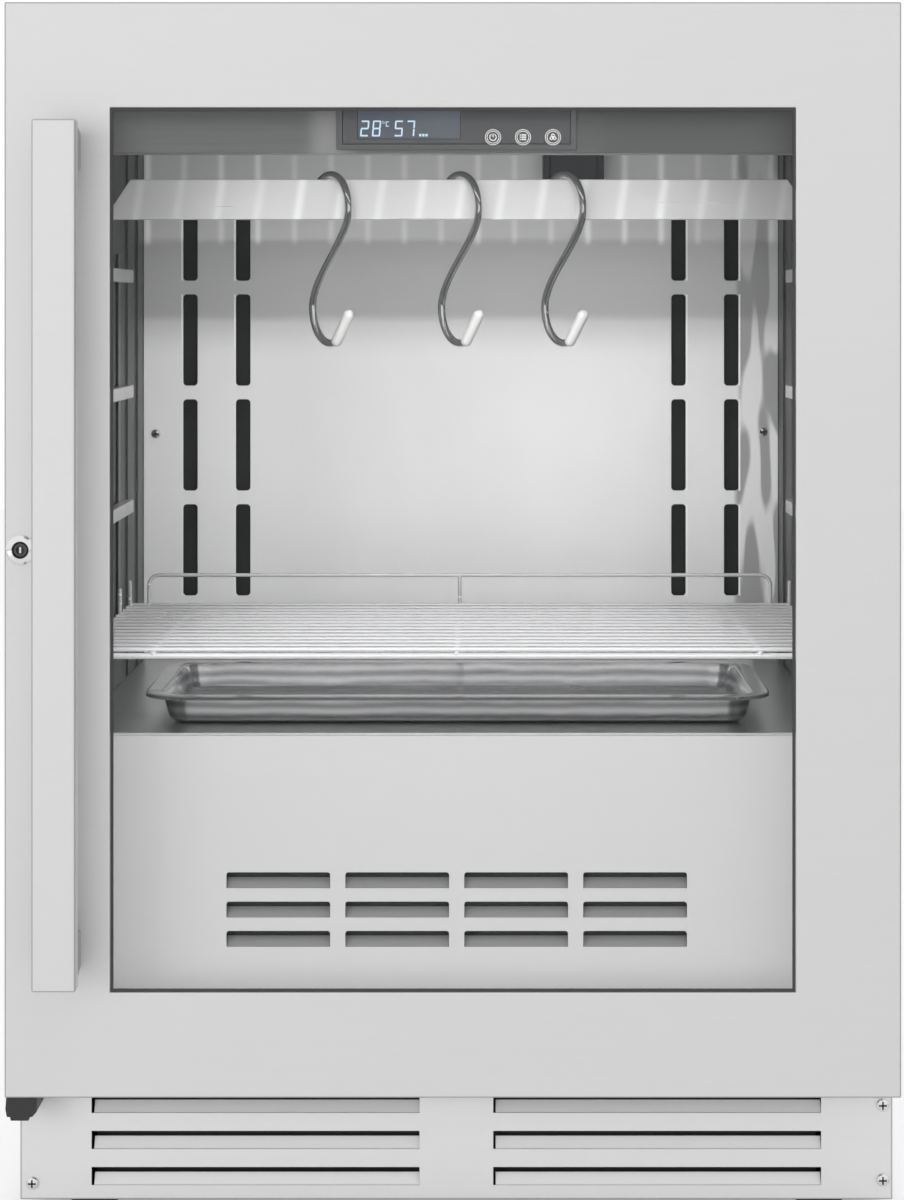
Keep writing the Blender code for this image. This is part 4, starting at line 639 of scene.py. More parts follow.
def node_copy(node):
    """A node's own solid with its doubles merged and its flat faces whole."""
    bm = bmesh.new()
    bm.from_mesh(NODES[node].data)
    bmesh.ops.remove_doubles(bm, verts=bm.verts, dist=MERGE)
    bmesh.ops.dissolve_limit(bm, angle_limit=FLAT_ANGLE, verts=bm.verts, edges=bm.edges)
    return bm


# How each kind of edge is rounded: its share of the sheet edge that a user sets, and its steps
ROUNDING = {
    "fine": (0.4, 2),
    "thin": (0.6, 2),
    "sheet": (0.8, 2),
    "plate": (1.0, 2),
    "grommet": (1.2, 2),
    "bead": (1.4, 2),
    "bezel": (1.2, 3),
    "rail": (1.4, 3),
    "door": (1.6, 3),
    "box": (2.0, 3),
    "gasket": (2.2, 3),
    "ledge": (2.4, 3),
    "lamp": (3.0, 3),
    "bar": (2.8, 4),
    "vent": (3.6, 4),
}


def soften(bm, kind, chosen=None):
    """Round the sharp edges, or the chosen ones, in the way of their kind."""
    share, segments = ROUNDING[kind]
    edges = [edge for edge in bm.edges
             if len(edge.link_faces) == 2 and edge.calc_face_angle(0) > EDGE_ANGLE
             and (chosen is None or chosen(edge))]
    bmesh.ops.bevel(bm, geom=edges, offset=settings().steel.edge * share, offset_type="OFFSET",
                    affect="EDGES", segments=segments, profile=0.5, material=-1, clamp_overlap=True)
    return bm


# How far outside the window a corner still counts as one of its opening
WINDOW_FIT = 0.0015


def widened(bm, low, high, amount):
    """Take the opening of a ring back from the window that it frames, so that it stays out of sight."""
    middle = (low + high) / 2
    for vert in bm.verts:
        in_width = low.x - WINDOW_FIT < vert.co.x < high.x + WINDOW_FIT
        if in_width and low.z - WINDOW_FIT < vert.co.z < high.z + WINDOW_FIT:
            vert.co.x += math.copysign(amount, vert.co.x - middle.x)
            vert.co.z += math.copysign(amount, vert.co.z - middle.z)
    return bm


def drawn(corners, shift):
    """A flat outline of corners drawn out along a vector."""
    bm = bmesh.new()
    face = bm.faces.new([bm.verts.new(corner) for corner in corners])
    pulled = bmesh.ops.extrude_face_region(bm, geom=[face])["geom"]
    verts = [item for item in pulled if isinstance(item, bmesh.types.BMVert)]
    bmesh.ops.translate(bm, vec=shift, verts=verts)
    bmesh.ops.recalc_face_normals(bm, faces=bm.faces)
    return bm


def turned(profile, place, direction, steps):
    """Spin a profile of (radius, height) pairs about a direction from a place."""
    bm = bmesh.new()
    verts = [bm.verts.new((radius, 0, height)) for radius, height in profile]
    edges = [bm.edges.new(pair) for pair in zip(verts, verts[1:])]
    bmesh.ops.spin(bm, geom=verts + edges, cent=(0, 0, 0), axis=(0, 0, 1), angle=math.tau,
                   steps=steps, use_merge=True)
    bmesh.ops.remove_doubles(bm, verts=bm.verts, dist=MERGE)
    bmesh.ops.recalc_face_normals(bm, faces=bm.faces)
    turn = Vector((0, 0, 1)).rotation_difference(Vector(direction)).to_matrix()
    bmesh.ops.rotate(bm, cent=(0, 0, 0), matrix=turn, verts=bm.verts)
    bmesh.ops.translate(bm, vec=place, verts=bm.verts)
    return bm


# Length of each of the three steps of a wire's domed end, in shares of its radius
DOME_STEP = 0.325


def wire(points, radius, sides):
    """A round wire along points, with domed ends."""
    curve = bpy.data.curves.new("wire", "CURVE")
    curve.dimensions = "3D"
    curve.bevel_depth = radius
    curve.bevel_resolution = (sides - 4) // 2
    curve.use_fill_caps = True
    points = [Vector(point) for point in points]
    radii = [1.0] * len(points)
    first = (points[0] - points[1]).normalized() * radius * DOME_STEP
    last = (points[-1] - points[-2]).normalized() * radius * DOME_STEP
    for step in (1, 2, 3):
        points = [points[0] + first, *points, points[-1] + last]
        size = math.sqrt(1 - (step * DOME_STEP) ** 2)
        radii = [size, *radii, size]
    spline = curve.splines.new("POLY")
    spline.points.add(len(points) - 1)
    for knot, point, size in zip(spline.points, points, radii):
        knot.co = (*point, 1)
        knot.radius = size
    holder = bpy.data.objects.new("wire", curve)
    bpy.context.scene.collection.objects.link(holder)
    bpy.context.view_layer.update()
    graph = bpy.context.evaluated_depsgraph_get()
    mesh = bpy.data.meshes.new_from_object(holder.evaluated_get(graph))
    bpy.data.objects.remove(holder)
    bpy.data.curves.remove(curve)
    bm = bmesh.new()
    bm.from_mesh(mesh)
    bpy.data.meshes.remove(mesh)
    bmesh.ops.remove_doubles(bm, verts=bm.verts, dist=MERGE)
    bmesh.ops.recalc_face_normals(bm, faces=bm.faces)
    return bm


def bend(centre, first, second, steps=8):
    """Points on a quarter circle from centre + first to centre + second."""
    centre, first, second = Vector(centre), Vector(first), Vector(second)
    angles = [math.pi / 2 * step / steps for step in range(steps + 1)]
    return [centre + first * math.cos(angle) + second * math.sin(angle) for angle in angles]


def add_piece(name, bm, node, finish, replaces=(), marks=None):
    """Make an object that rides on a node's body, and hide the nodes that it replaces."""
    mesh = bpy.data.meshes.new(name)
    bm.to_mesh(mesh)
    bm.free()
    item = bpy.data.objects.new(name, mesh)
    bpy.context.scene.collection.objects.link(item)
    mesh.materials.append(look(finish))
    if marks:
        mesh.materials.append(look(marks))
    mesh.shade_smooth()
    mesh.set_sharp_from_angle(angle=SMOOTH_ANGLE)
    item.modifiers.new("flat faces stay flat", "WEIGHTED_NORMAL").keep_sharp = True
    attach(item, BODY_OF[node])
    if replaces:
        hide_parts(*replaces)
    return item


def edged(node, name, finish, kind):
    """Replace a node by its own solid with rounded edges."""
    return add_piece(name, soften(node_copy(node), kind), node, finish, (node,))


def marked(bm):
    """Give all of a bmesh the second material of its piece."""
    for face in bm.faces:
        face.material_index = 1
    return bm


# Half length and half width of a screw's cross, in shares of its radius
SCREW_CROSS = (0.62, 0.13)


def screws(name, node, places, direction, radius, height=None):
    """Screw heads with a cross recess, seated on places and facing a direction; pan heads by default."""
    height = height or radius * 0.55
    profile = [(0, -FIT), (radius, -FIT), (radius, height * 0.35), (radius * 0.86, height * 0.72),
               (radius * 0.5, height * 0.95), (0, height)]
    side = Vector(direction)
    up = Vector((0, 0, 1)) if abs(side.z) < 0.5 else Vector((0, 1, 0))
    across = side.cross(up)
    long, wide = (radius * share for share in SCREW_CROSS)
    parts, crosses = [], []
    for place in places:
        place = Vector(place) + side * FIT
        parts.append(turned(profile, place, direction, 20))
        for one, other in ((up, across), (across, up)):
            bar = boxed((-long, -wide, 0), (long, wide, height + MERGE))
            turn = Matrix((one, other, side)).transposed()
            bmesh.ops.rotate(bar, cent=(0, 0, 0), matrix=turn, verts=bar.verts)
            bmesh.ops.translate(bar, vec=place, verts=bar.verts)
            bmesh.ops.recalc_face_normals(bar, faces=bar.faces)
            crosses.append(bar)
    heads = joined([*parts, marked(joined(crosses))])
    return add_piece(name, heads, node, "chrome", marks="black")


# Pieces, one operator for each or for each group of like ones

# Rings behind the window: node, piece, finish, and how far it is taken back from the window
DOOR_RINGS = (("inner_door_frame", "inner_door_skin", "black", 0.009),
              ("pane_spacer", "pane_spacer_strip", "aluminium", 0.005))


class CABINET_OT_door(bpy.types.Operator):
    """Dress the door's frame, its inner frame, the spacer between its panes and its gasket"""
    bl_idname = "cabinet.door"
    bl_label = "Door"

    def execute(self, context):
        edged("door_frame", "door_skin", "door", "door")
        low, high = low_of("glazing_seal"), high_of("glazing_seal")
        for node, name, finish, widening in DOOR_RINGS:
            ring = widened(node_copy(node), low, high, widening)
            add_piece(name, soften(ring, "sheet"), node, finish, (node,))
        edged("door_gasket", "door_gasket_bead", "rubber", "gasket")
        return {"FINISHED"}


class CABINET_OT_handle(bpy.types.Operator):
    """Build the handle bar and its two standoffs with rounded edges"""
    bl_idname = "cabinet.handle"
    bl_label = "Handle"

    def execute(self, context):
        bar = soften(boxed(*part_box("handle_bar")), "bar")
        add_piece("handle_grip", bar, "handle_bar", "handle", ("handle_bar",))
        for end in ("top", "bottom"):
            # The standoffs take the louvres' darker satin steel, as painted shade
            edged("handle_standoff_" + end, "handle_foot_" + end, "louvre", "door")
        return {"FINISHED"}


# The plug as a share of the ring and its socket as a share of the plug
LOCK_PLUG_SHARE = 0.47
LOCK_SOCKET_SHARE = 0.62
# Radius of the barrel, and the cam's start behind the door's face and half its width
LOCK_BARREL = 0.0062
LOCK_CAM_FRONT = 0.035
LOCK_CAM_HALF = 0.0035


class CABINET_OT_lock(bpy.types.Operator):
    """Build the lock's ring and its turning plug with the cam behind it"""
    bl_idname = "cabinet.lock"
    bl_label = "Lock"

    def execute(self, context):
        pivot = JOINT_AT["lock_turn"]
        barrel_low, barrel_high = low_of("lock_barrel"), high_of("lock_barrel")
        plug_low, plug_high = low_of("lock_cylinder"), high_of("lock_cylinder")
        ring = (barrel_high.x - barrel_low.x) / 2
        plug = ring * LOCK_PLUG_SHARE
        bore = plug + FIT
        proud = pivot.y - barrel_low.y
        edge = proud * 0.4
        end = barrel_high.y - pivot.y
        profile = [(bore, -proud * 0.35), (bore + edge, -proud), (ring - edge * 1.6, -proud * 0.86),
                   (ring, -FIT - edge * 0.5), (ring, -FIT), (LOCK_BARREL, -FIT), (LOCK_BARREL, end),
                   (bore, end), (bore, -proud * 0.35)]
        bm = turned(profile, pivot, (0, 1, 0), 48)
        add_piece("lock_ring", bm, "lock_barrel", "chrome", ("lock_barrel",))
        face = plug_low.y - pivot.y
        socket = plug * LOCK_SOCKET_SHARE
        profile = [(0, face + plug * 0.5), (socket, face + plug * 0.5), (socket, face),
                   (plug - edge * 0.6, face), (plug, face + edge * 0.6), (plug, LOCK_CAM_FRONT),
                   (0, LOCK_CAM_FRONT)]
        cylinder = turned(profile, pivot, (0, 1, 0), 48)
        cam = boxed((pivot.x - LOCK_CAM_HALF, pivot.y + LOCK_CAM_FRONT, plug_low.z),
                    (pivot.x + LOCK_CAM_HALF, plug_high.y, pivot.z + LOCK_CAM_HALF))
        key = boxed((pivot.x - socket * 0.25, pivot.y + face, pivot.z - socket * 0.7),
                    (pivot.x + socket * 0.25, pivot.y + face + plug * 0.6, pivot.z + socket * 0.7))
        bm = joined([cylinder, soften(cam, "sheet"), marked(soften(key, "fine"))])
        add_piece("lock_plug", bm, "lock_cylinder", "bezel", ("lock_cylinder",), marks="chrome")
        return {"FINISHED"}


# Nodes of the body that only get rounded edges: node, piece, finish, kind of edge
BODY_SHEETS = (
    ("outer_cabinet", "outer_shell", "satin", "sheet"),
    ("front_frame", "mouth_frame", "chamber", "thin"),
    ("rear_cover", "rear_sheet", "satin", "sheet"),
    ("machine_bay_cover", "bay_sheet", "paint", "thin"),
    ("base_plate", "base_sheet", "paint", "sheet"),
    ("hinge_top", "hinge_arm_top", "chamber", "plate"),
    ("hinge_bottom", "hinge_arm_bottom", "chamber", "plate"),
    ("lock_keeper", "keeper_plate", "chamber", "sheet"),
    ("mains_grommet", "grommet", "rubber", "grommet"),
)
# Outline of the door rest, in the photograph's pixels
REST_PIXELS = ((6.0, 1095.0), (36.7, 1095.0), (36.7, 1112.0), (32.0, 1117.3), (29.4, 1117.3),
               (28.5, 1121.0), (10.5, 1121.0), (9.9, 1117.3), (6.5, 1117.3), (2.0, 1109.3))
# Radius and places of the screws of the rear covers, the top hinge and the keeper
REAR_SCREW = 0.0036
REAR_SCREW_INSET = 0.012
HINGE_SCREW = 0.0030
HINGE_SCREW_INSETS = (0.010, 0.036)
HINGE_SCREW_SHIFT = 0.002
KEEPER_SCREW = 0.0026
KEEPER_SCREW_INSET = 0.006
KEEPER_SCREW_DEPTH = 0.007
# Height of a countersunk head
FLUSH = 0.0004


class CABINET_OT_body(bpy.types.Operator):
    """Dress the outer cabinet, its covers, hinges and keeper"""
    bl_idname = "cabinet.body"
    bl_label = "Cabinet body"

    def execute(self, context):
        for sheet in BODY_SHEETS:
            edged(*sheet)
        self.add_rest()
        self.add_screws()
        return {"FINISHED"}

    def add_rest(self):
        """The moulded block under the door's lower left corner."""
        rest_low, rest_high = low_of("door_rest"), high_of("door_rest")
        corners = [Vector(on_plane(*pixel, rest_low.y)) for pixel in REST_PIXELS]
        for corner in corners:
            corner.x, corner.z = max(corner.x, rest_low.x), min(corner.z, rest_high.z)
        block = soften(drawn(corners, (0, rest_high.y - rest_low.y, 0)), "plate")
        add_piece("door_rest_block", block, "door_rest", "black", ("door_rest",))

    def add_screws(self):
        """The screws of the rear cover, the bay cover, the top hinge and the keeper."""
        low, high = low_of("rear_cover"), high_of("rear_cover")
        seam, foot = high_of("machine_bay_cover").z, low_of("machine_bay_cover").z
        left, right = low.x + REAR_SCREW_INSET, high.x - REAR_SCREW_INSET
        rows = (seam + REAR_SCREW_INSET, (seam + high.z) / 2, high.z - REAR_SCREW_INSET)
        places = [(x, high.y, z) for z in rows for x in (left, (left + right) / 2, right)]
        bay_rows = (seam - REAR_SCREW_INSET, foot + REAR_SCREW_INSET)
        places += [(x, high.y, z) for z in bay_rows for x in (left, right)]
        screws("rear_screws", "rear_cover", places, (0, 1, 0), REAR_SCREW)
        top = high_of("hinge_top")
        x = JOINT_AT["door_swing"].x - HINGE_SCREW_SHIFT
        places = [(x, top.y - inset, top.z - 2 * FIT) for inset in HINGE_SCREW_INSETS]
        screws("hinge_screws", "hinge_top", places, (0, 0, 1), HINGE_SCREW, FLUSH)
        low, high = low_of("lock_keeper"), high_of("lock_keeper")
        rows = (low.z + KEEPER_SCREW_INSET, high.z - KEEPER_SCREW_INSET)
        places = [(low.x + 2 * FIT, high.y - KEEPER_SCREW_DEPTH, z) for z in rows]
        screws("keeper_screws", "lock_keeper", places, (-1, 0, 0), KEEPER_SCREW, FLUSH)


# The plinth's sheet, the radius of its screws, and their places in the photograph's pixels
PLINTH_SHEET = 0.001
PLINTH_SCREW = 0.0043
PLINTH_SCREW_PIXELS = ((32.5, 1182.8), (32.5, 1105.0), (882.4, 1179.7), (882.4, 1104.8))
# The plinth's slots: the bridge between the two groups, width, lowest sill, rows, and how far
# the louvres start inside them
SLOT_BRIDGE = 0.050
SLOT_WIDTH = 0.2222
SLOT_LOW = 0.0095
SLOT_PITCH = 0.0245
SLOT_ROWS = 3
SLOT_SIDE_GAP = 0.0016
# How far back the dark sheet of painted shade stands behind the slots, and the thickness of such sheets
# and of the louvres
SLOT_SHADE = 0.012
SHADE_SHEET = 0.0008
LOUVRE_SHEET = 0.0006
# Lip, reach and rise of a louvre behind a slot and behind a vent
SLOT_BLADE = (0.0003, 0.0040, 0.0073)
VENT_BLADE = (0.0008, 0.0050, 0.0062)


class CABINET_OT_plinth(bpy.types.Operator):
    """Build the kick panel with a louvre behind each slot, and its four screws"""
    bl_idname = "cabinet.plinth"
    bl_label = "Plinth"

    def execute(self, context):
        edged("plinth", "kick_panel", "plinth", "thin")
        low, high = low_of("plinth"), high_of("plinth")
        middle = middle_of("plinth").x
        back = low.y + PLINTH_SHEET
        blades = []
        for side in (-1, 1):
            inner, outer = SLOT_BRIDGE / 2, SLOT_BRIDGE / 2 + SLOT_WIDTH
            ends = sorted((middle + side * inner, middle + side * outer))
            for row in range(SLOT_ROWS):
                bottom = low.z + SLOT_LOW + row * SLOT_PITCH
                blades.append(louvre(ends[0] + SLOT_SIDE_GAP, ends[1], back, bottom, SLOT_BLADE))
        add_piece("plinth_louvres", joined(blades), "plinth", "plinth")
        # A dark sheet behind the slots, as painted shade
        shade_low = (low.x + SLOT_BRIDGE, back + SLOT_SHADE, low.z + SLOT_LOW / 2)
        shade_high = (high.x - SLOT_BRIDGE, back + SLOT_SHADE + SHADE_SHEET, high.z)
        add_piece("plinth_shade", soften(boxed(shade_low, shade_high), "fine"), "plinth", "paint")
        places = [on_plane(*pixel, low.y) for pixel in PLINTH_SCREW_PIXELS]
        screws("plinth_screws", "plinth", places, (0, -1, 0), PLINTH_SCREW)
        return {"FINISHED"}


def louvre(low_x, high_x, back, bottom, sizes):
    """A blade behind a slot: a flat lip level with its sill, then a face that leans back as it rises."""
    lip, reach, rise = sizes
    front = back + SKIN
    fold, end = front + lip, front + lip + reach
    profile = ((front, bottom), (fold, bottom), (end, bottom + rise),
               (end + LOUVRE_SHEET, bottom + rise), (fold + LOUVRE_SHEET, bottom - LOUVRE_SHEET),
               (front, bottom - LOUVRE_SHEET))
    return drawn([(low_x, y, z) for y, z in profile], (high_x - low_x, 0, 0))


class CABINET_OT_feet(bpy.types.Operator):
    """Build the levelling feet: a turned pad and a hexagonal nut"""
    bl_idname = "cabinet.feet"
    bl_label = "Feet"

    def execute(self, context):
        for corner in ("front_left", "front_right", "back_left", "back_right"):
            node = "foot_" + corner
            low, high, middle = low_of(node), high_of(node), middle_of(node)
            place = Vector((middle.x, middle.y, 0))
            radius = (high.x - low.x) / 2
            pad = high.z / 2
            profile = [(0, 0), (radius * 0.93, 0), (radius, pad * 0.2), (radius, pad * 0.55),
                       (radius * 0.94, pad * 0.8), (radius * 0.55, pad), (0, pad)]
            nut = bmesh.new()
            bmesh.ops.create_cone(nut, cap_ends=True, segments=6, radius1=radius * 0.42,
                                  radius2=radius * 0.42, depth=high.z - pad)
            lift = Vector((0, 0, (high.z + pad) / 2))
            bmesh.ops.translate(nut, vec=place + lift, verts=nut.verts)
            parts = [turned(profile, place, (0, 0, 1), 40), soften(nut, "sheet")]
            add_piece("levelling_" + node, joined(parts), node, "black", (node,))
        return {"FINISHED"}


# Radius of the duct cover's screws, and their places in the photograph's pixels
DUCT_SCREW = 0.0040
DUCT_SCREW_PIXELS = ((155.8, 433.7), (763.5, 431.7))
# The wall beads: depths behind the door's face, width, rise off the wall and gap at the top
WALL_BEADS = (0.344, 0.405)
BEAD_WIDTH = 0.003
BEAD_RISE = 0.0016
BEAD_TOP_GAP = 0.002
# The vents: lowest sill, rows, height, width, columns, and the dark sheet of painted shade behind their
# panel
VENT_LOW = 0.0533
VENT_PITCH = 0.0201
VENT_ROWS = 3
VENT_HEIGHT = 0.011
VENT_WIDTH = 0.0712
VENT_COLUMN_PITCH = 0.0816
VENT_COLUMNS = 4
VENT_SHEET = 0.001
VENT_SHADE = 0.009


class CABINET_OT_chamber(bpy.types.Operator):
    """Dress the chamber's walls, its duct cover, lower panel, floor and shelf supports"""
    bl_idname = "cabinet.chamber"
    bl_label = "Chamber"

    def execute(self, context):
        edged("back_panel", "duct_cover", "back", "thin")
        self.add_vents()
        edged("floor_panel", "chamber_floor", "chamber", "thin")
        for side in ("left", "right"):
            edged("shelf_support_" + side, "shelf_ladder_" + side, "ladder", "ledge")
        face = low_of("back_panel").y
        places = [on_plane(*pixel, face) for pixel in DUCT_SCREW_PIXELS]
        screws("duct_screws", "back_panel", places, (0, -1, 0), DUCT_SCREW)
        self.add_beads()
        return {"FINISHED"}

    def add_beads(self):
        """Two upright beads pressed in each side wall."""
        liner_low, liner_high = low_of("inner_liner"), high_of("inner_liner")
        floor, ceiling = high_of("floor_panel").z, liner_high.z - BEAD_TOP_GAP
        beads = []
        for wall, inward in ((liner_low.x + LINER_SHEET, 1), (liner_high.x - LINER_SHEET, -1)):
            for depth in WALL_BEADS:
                y = low_of("door_frame").y + depth
                ends = sorted((wall + inward * FIT, wall + inward * BEAD_RISE))
                bead = boxed((ends[0], y, floor + FIT), (ends[1], y + BEAD_WIDTH, ceiling - FIT))
                beads.append(soften(bead, "bead"))
        add_piece("wall_beads", joined(beads), "inner_liner", "wall")

    def add_vents(self):
        """The lower panel, with the upper corners of its vents rounded and a louvre behind each."""
        low, middle = low_of("lower_panel"), middle_of("lower_panel").x
        sills = [low.z + VENT_LOW + row * VENT_PITCH for row in range(VENT_ROWS)]

        def at_corner(edge):
            first, last = (vert.co for vert in edge.verts)
            upright = abs(first.x - last.x) < MERGE and abs(first.z - last.z) < MERGE
            return upright and any(abs(first.z - sill - VENT_HEIGHT) < FIT for sill in sills)

        panel = soften(node_copy("lower_panel"), "vent", at_corner)
        add_piece("vented_panel", soften(panel, "thin"), "lower_panel", "panel", ("lower_panel",))
        back = low.y + VENT_SHEET
        gap = (VENT_COLUMN_PITCH - VENT_WIDTH) / 2
        blades = []
        for column in range(VENT_COLUMNS):
            left = middle + VENT_COLUMN_PITCH * (column - VENT_COLUMNS / 2) + gap
            for sill in sills:
                blades.append(louvre(left, left + VENT_WIDTH, back, sill, VENT_BLADE))
        add_piece("vent_louvres", joined(blades), "lower_panel", "louvre")
        # A dark sheet behind the vents, as painted shade
        reach = VENT_COLUMN_PITCH * VENT_COLUMNS / 2
        shade_low = (middle - reach, back + VENT_SHADE, sills[0] - VENT_HEIGHT / 2)
        top = sills[-1] + VENT_HEIGHT * 1.5
        shade_high = (middle + reach, back + VENT_SHADE + SHADE_SHEET, top)
        add_piece("vent_shade", soften(boxed(shade_low, shade_high), "fine"), "lower_panel", "wall")


class CABINET_OT_rail(bpy.types.Operator):
    """Dress the hanging rail"""
    bl_idname = "cabinet.rail"
    bl_label = "Hanging rail"

    def execute(self, context):
        edged("hanging_rail", "meat_rail", "rail", "rail")
        return {"FINISHED"}


# Places of the hooks along the rail, from its middle, and the rail's thickness
HOOK_PLACES = (-0.0976, 0.0008, 0.0797)
RAIL_SHEET = 0.0015
# The hook's line: its turn from the rail, half its width, and heights under its crown
HOOK_TURN = math.radians(38)
HOOK_HALF = 0.018
HOOK_RISE = 0.0255
HOOK_BOWL = 0.101
HOOK_DROP = 0.027
# Shares of the line at which the crown ends and the bowl starts, and where the wire ends
HOOK_SHARES = (0.28, 0.66)
HOOK_WIRE_END = 0.845
# The sleeve: the share of the line that it stands past the wire, its cut and its fit
HOOK_SPACE = 0.022
HOOK_TIP_CUT = 0.0056
HOOK_TIP_FIT = 0.98


class CABINET_OT_hooks(bpy.types.Operator):
    """Bend the three S hooks and put a white sleeve on each point"""
    bl_idname = "cabinet.hooks"
    bl_label = "Hooks"

    def execute(self, context):
        sizes = context.scene.cabinet_looks.wire
        radius, sleeve = sizes.hook_wire, sizes.hook_tip
        for number in (1, 2, 3):
            node, tip = "hook_%d" % number, "hook_tip_%d" % number
            y = low_of("hanging_rail").y + RAIL_SHEET / 2
            place = Vector((MIDDLE + HOOK_PLACES[number - 1], y, high_of(node).z - radius))
            bar = [hook_point(place, share) for share in steps_between(0.0, HOOK_WIRE_END, 60)]
            add_piece("meat_" + node, wire(bar, radius, 16), node, "chrome", (node,))
            start = hook_point(place, HOOK_WIRE_END + HOOK_SPACE)
            end = hook_point(place, 1.0) - Vector((0, 0, HOOK_TIP_CUT))
            straight = [start.lerp(end, share) for share in steps_between(0.0, 1.0, 6)]
            sleeve_bm = wire(straight, sleeve * HOOK_TIP_FIT, 20)
            add_piece("meat_" + tip, sleeve_bm, tip, "white", (tip,))
        return {"FINISHED"}


def steps_between(start, end, count):
    """Evenly spaced values from start to end."""
    return [start + (end - start) * step / count for step in range(count + 1)]


def hook_point(place, share):
    """A point of a hook's line: over the rail, down across, and round the bowl to its point."""
    crown, cross = HOOK_SHARES
    if share < crown:
        angle = math.pi * (1 - share / crown)
        across, down = HOOK_HALF * math.cos(angle), HOOK_RISE * (math.sin(angle) - 1)
    elif share < cross:
        part = (share - crown) / (cross - crown)
        ease = part * part * (3 - 2 * part)
        across = HOOK_HALF * (1 - 2 * ease)
        down = -HOOK_RISE + part * (HOOK_RISE - HOOK_BOWL)
    else:
        angle = math.pi * (1 + (share - cross) / (1 - cross))
        across, down = HOOK_HALF * math.cos(angle), -HOOK_BOWL + HOOK_DROP * math.sin(angle)
    return place + Vector((across * math.cos(HOOK_TURN), -across * math.sin(HOOK_TURN), down))


# How far the front wire hangs under the long ones, and how deep two wires melt together
SHELF_DROP = 0.0015
SHELF_WELD = 0.0006
# Places of the inner long wires and of the guard's ends from the middle, of the second stub
# from the back, and the rise of the stubs over the wires
SHELF_CROSS = 0.209
SHELF_GUARD = 0.2455
SHELF_STUB = 0.060
SHELF_STUB_RISE = 0.018


class CABINET_OT_shelf(bpy.types.Operator):
    """Weld the wire shelf with its rear guard"""
    bl_idname = "cabinet.shelf"
    bl_label = "Wire shelf"

    def execute(self, context):
        sizes = context.scene.cabinet_looks.wire
        thin, thick = sizes.shelf_wire, sizes.frame_wire
        low, high = low_of("wire_shelf"), high_of("wire_shelf")
        middle = middle_of("wire_shelf").x
        half = (high.x - low.x) / 2 - thick
        front, back = low.y + thick, high.y - thin
        cross = low.z + thick + SHELF_DROP
        deck = cross + thick + thin - SHELF_WELD
        top = high.z - thin
        parts = []
        for number in range(sizes.shelf_wires):
            y = front + (back - front) * number / (sizes.shelf_wires - 1)
            parts.append(wire([(middle - half, y, deck), (middle + half, y, deck)], thin, 10))
        for offset in (-half, -SHELF_CROSS, 0, SHELF_CROSS, half):
            x = middle + offset
            parts.append(wire([(x, front, cross), (x, back, cross)], thick, 12))
        drop = cross - SHELF_DROP
        parts.append(wire([(middle - half, front, drop), (middle + half, front, drop)], thick, 12))
        reach, curve = SHELF_GUARD, sizes.guard_bend
        left = bend((middle - reach + curve, back, top - curve), (-curve, 0, 0), (0, 0, curve))
        right = bend((middle + reach - curve, back, top - curve), (0, 0, curve), (curve, 0, 0))
        guard = [(middle - reach, back, deck), *left, *right, (middle + reach, back, deck)]
        parts.append(wire(guard, thin, 12))
        parts.append(wire([(middle, back, deck), (middle, back, top)], thin, 10))
        for side in (-1, 1):
            for space in (thick, SHELF_STUB):
                x, y = middle + side * half, back - space
                parts.append(wire([(x, y, cross), (x, y, deck + SHELF_STUB_RISE)], thin, 10))
        add_piece("welded_shelf", joined(parts), "wire_shelf", "wire", ("wire_shelf",))
        return {"FINISHED"}


# The wall of the tray's node, that of the pressed sheet, its corners and the curl of its rim
TRAY_SHEET = 0.001
TRAY_WALL = 0.0008
TRAY_CORNER = 0.031
TRAY_CURL = 0.0022
# Steps of the press from the rim to the floor: width, and share of the depth
TRAY_STEPS = ((0.0015, 0.02), (0.0095, 0.0), (0.0012, -0.03), (0.0010, -0.10), (0.0028, -0.50),
              (0.0010, -0.17), (0.0016, -0.10), (0.0030, -0.08), (0.0060, -0.02))


class CABINET_OT_tray(bpy.types.Operator):
    """Press the drip tray from one rounded sheet"""
    bl_idname = "cabinet.tray"
    bl_label = "Drip tray"

    def execute(self, context):
        low, middle = low_of("drip_tray"), middle_of("drip_tray")
        size = high_of("drip_tray") - low
        bm = bmesh.new()
        bmesh.ops.create_grid(bm, x_segments=1, y_segments=1, size=0.5)
        bmesh.ops.scale(bm, vec=(size.x - TRAY_SHEET, size.y - TRAY_SHEET, 1), verts=bm.verts)
        bmesh.ops.bevel(bm, geom=bm.verts[:] + bm.edges[:], offset=TRAY_CORNER,
                        offset_type="OFFSET", affect="VERTICES", segments=10, profile=0.5, material=-1)
        floor = bm.faces[:]
        drop = size.z - TRAY_SHEET
        for inset, share in TRAY_STEPS:
            bmesh.ops.inset_region(bm, faces=floor, thickness=inset, depth=share * drop,
                                   use_even_offset=True, use_boundary=True)
        rim = [edge for edge in bm.edges if edge.is_boundary]
        curl = bmesh.ops.extrude_edge_only(bm, edges=rim)["geom"]
        verts = [item for item in curl if isinstance(item, bmesh.types.BMVert)]
        bmesh.ops.translate(bm, vec=(0, 0, -TRAY_CURL), verts=verts)
        bmesh.ops.recalc_face_normals(bm, faces=bm.faces)
        bmesh.ops.solidify(bm, geom=bm.faces[:] + bm.edges[:] + bm.verts[:], thickness=TRAY_WALL)
        bmesh.ops.recalc_face_normals(bm, faces=bm.faces)
        lift = low.z - min(vert.co.z for vert in bm.verts)
        bmesh.ops.translate(bm, vec=(middle.x, middle.y, lift), verts=bm.verts)
        add_piece("pressed_tray", bm, "drip_tray", "tray", ("drip_tray",))
        return {"FINISHED"}


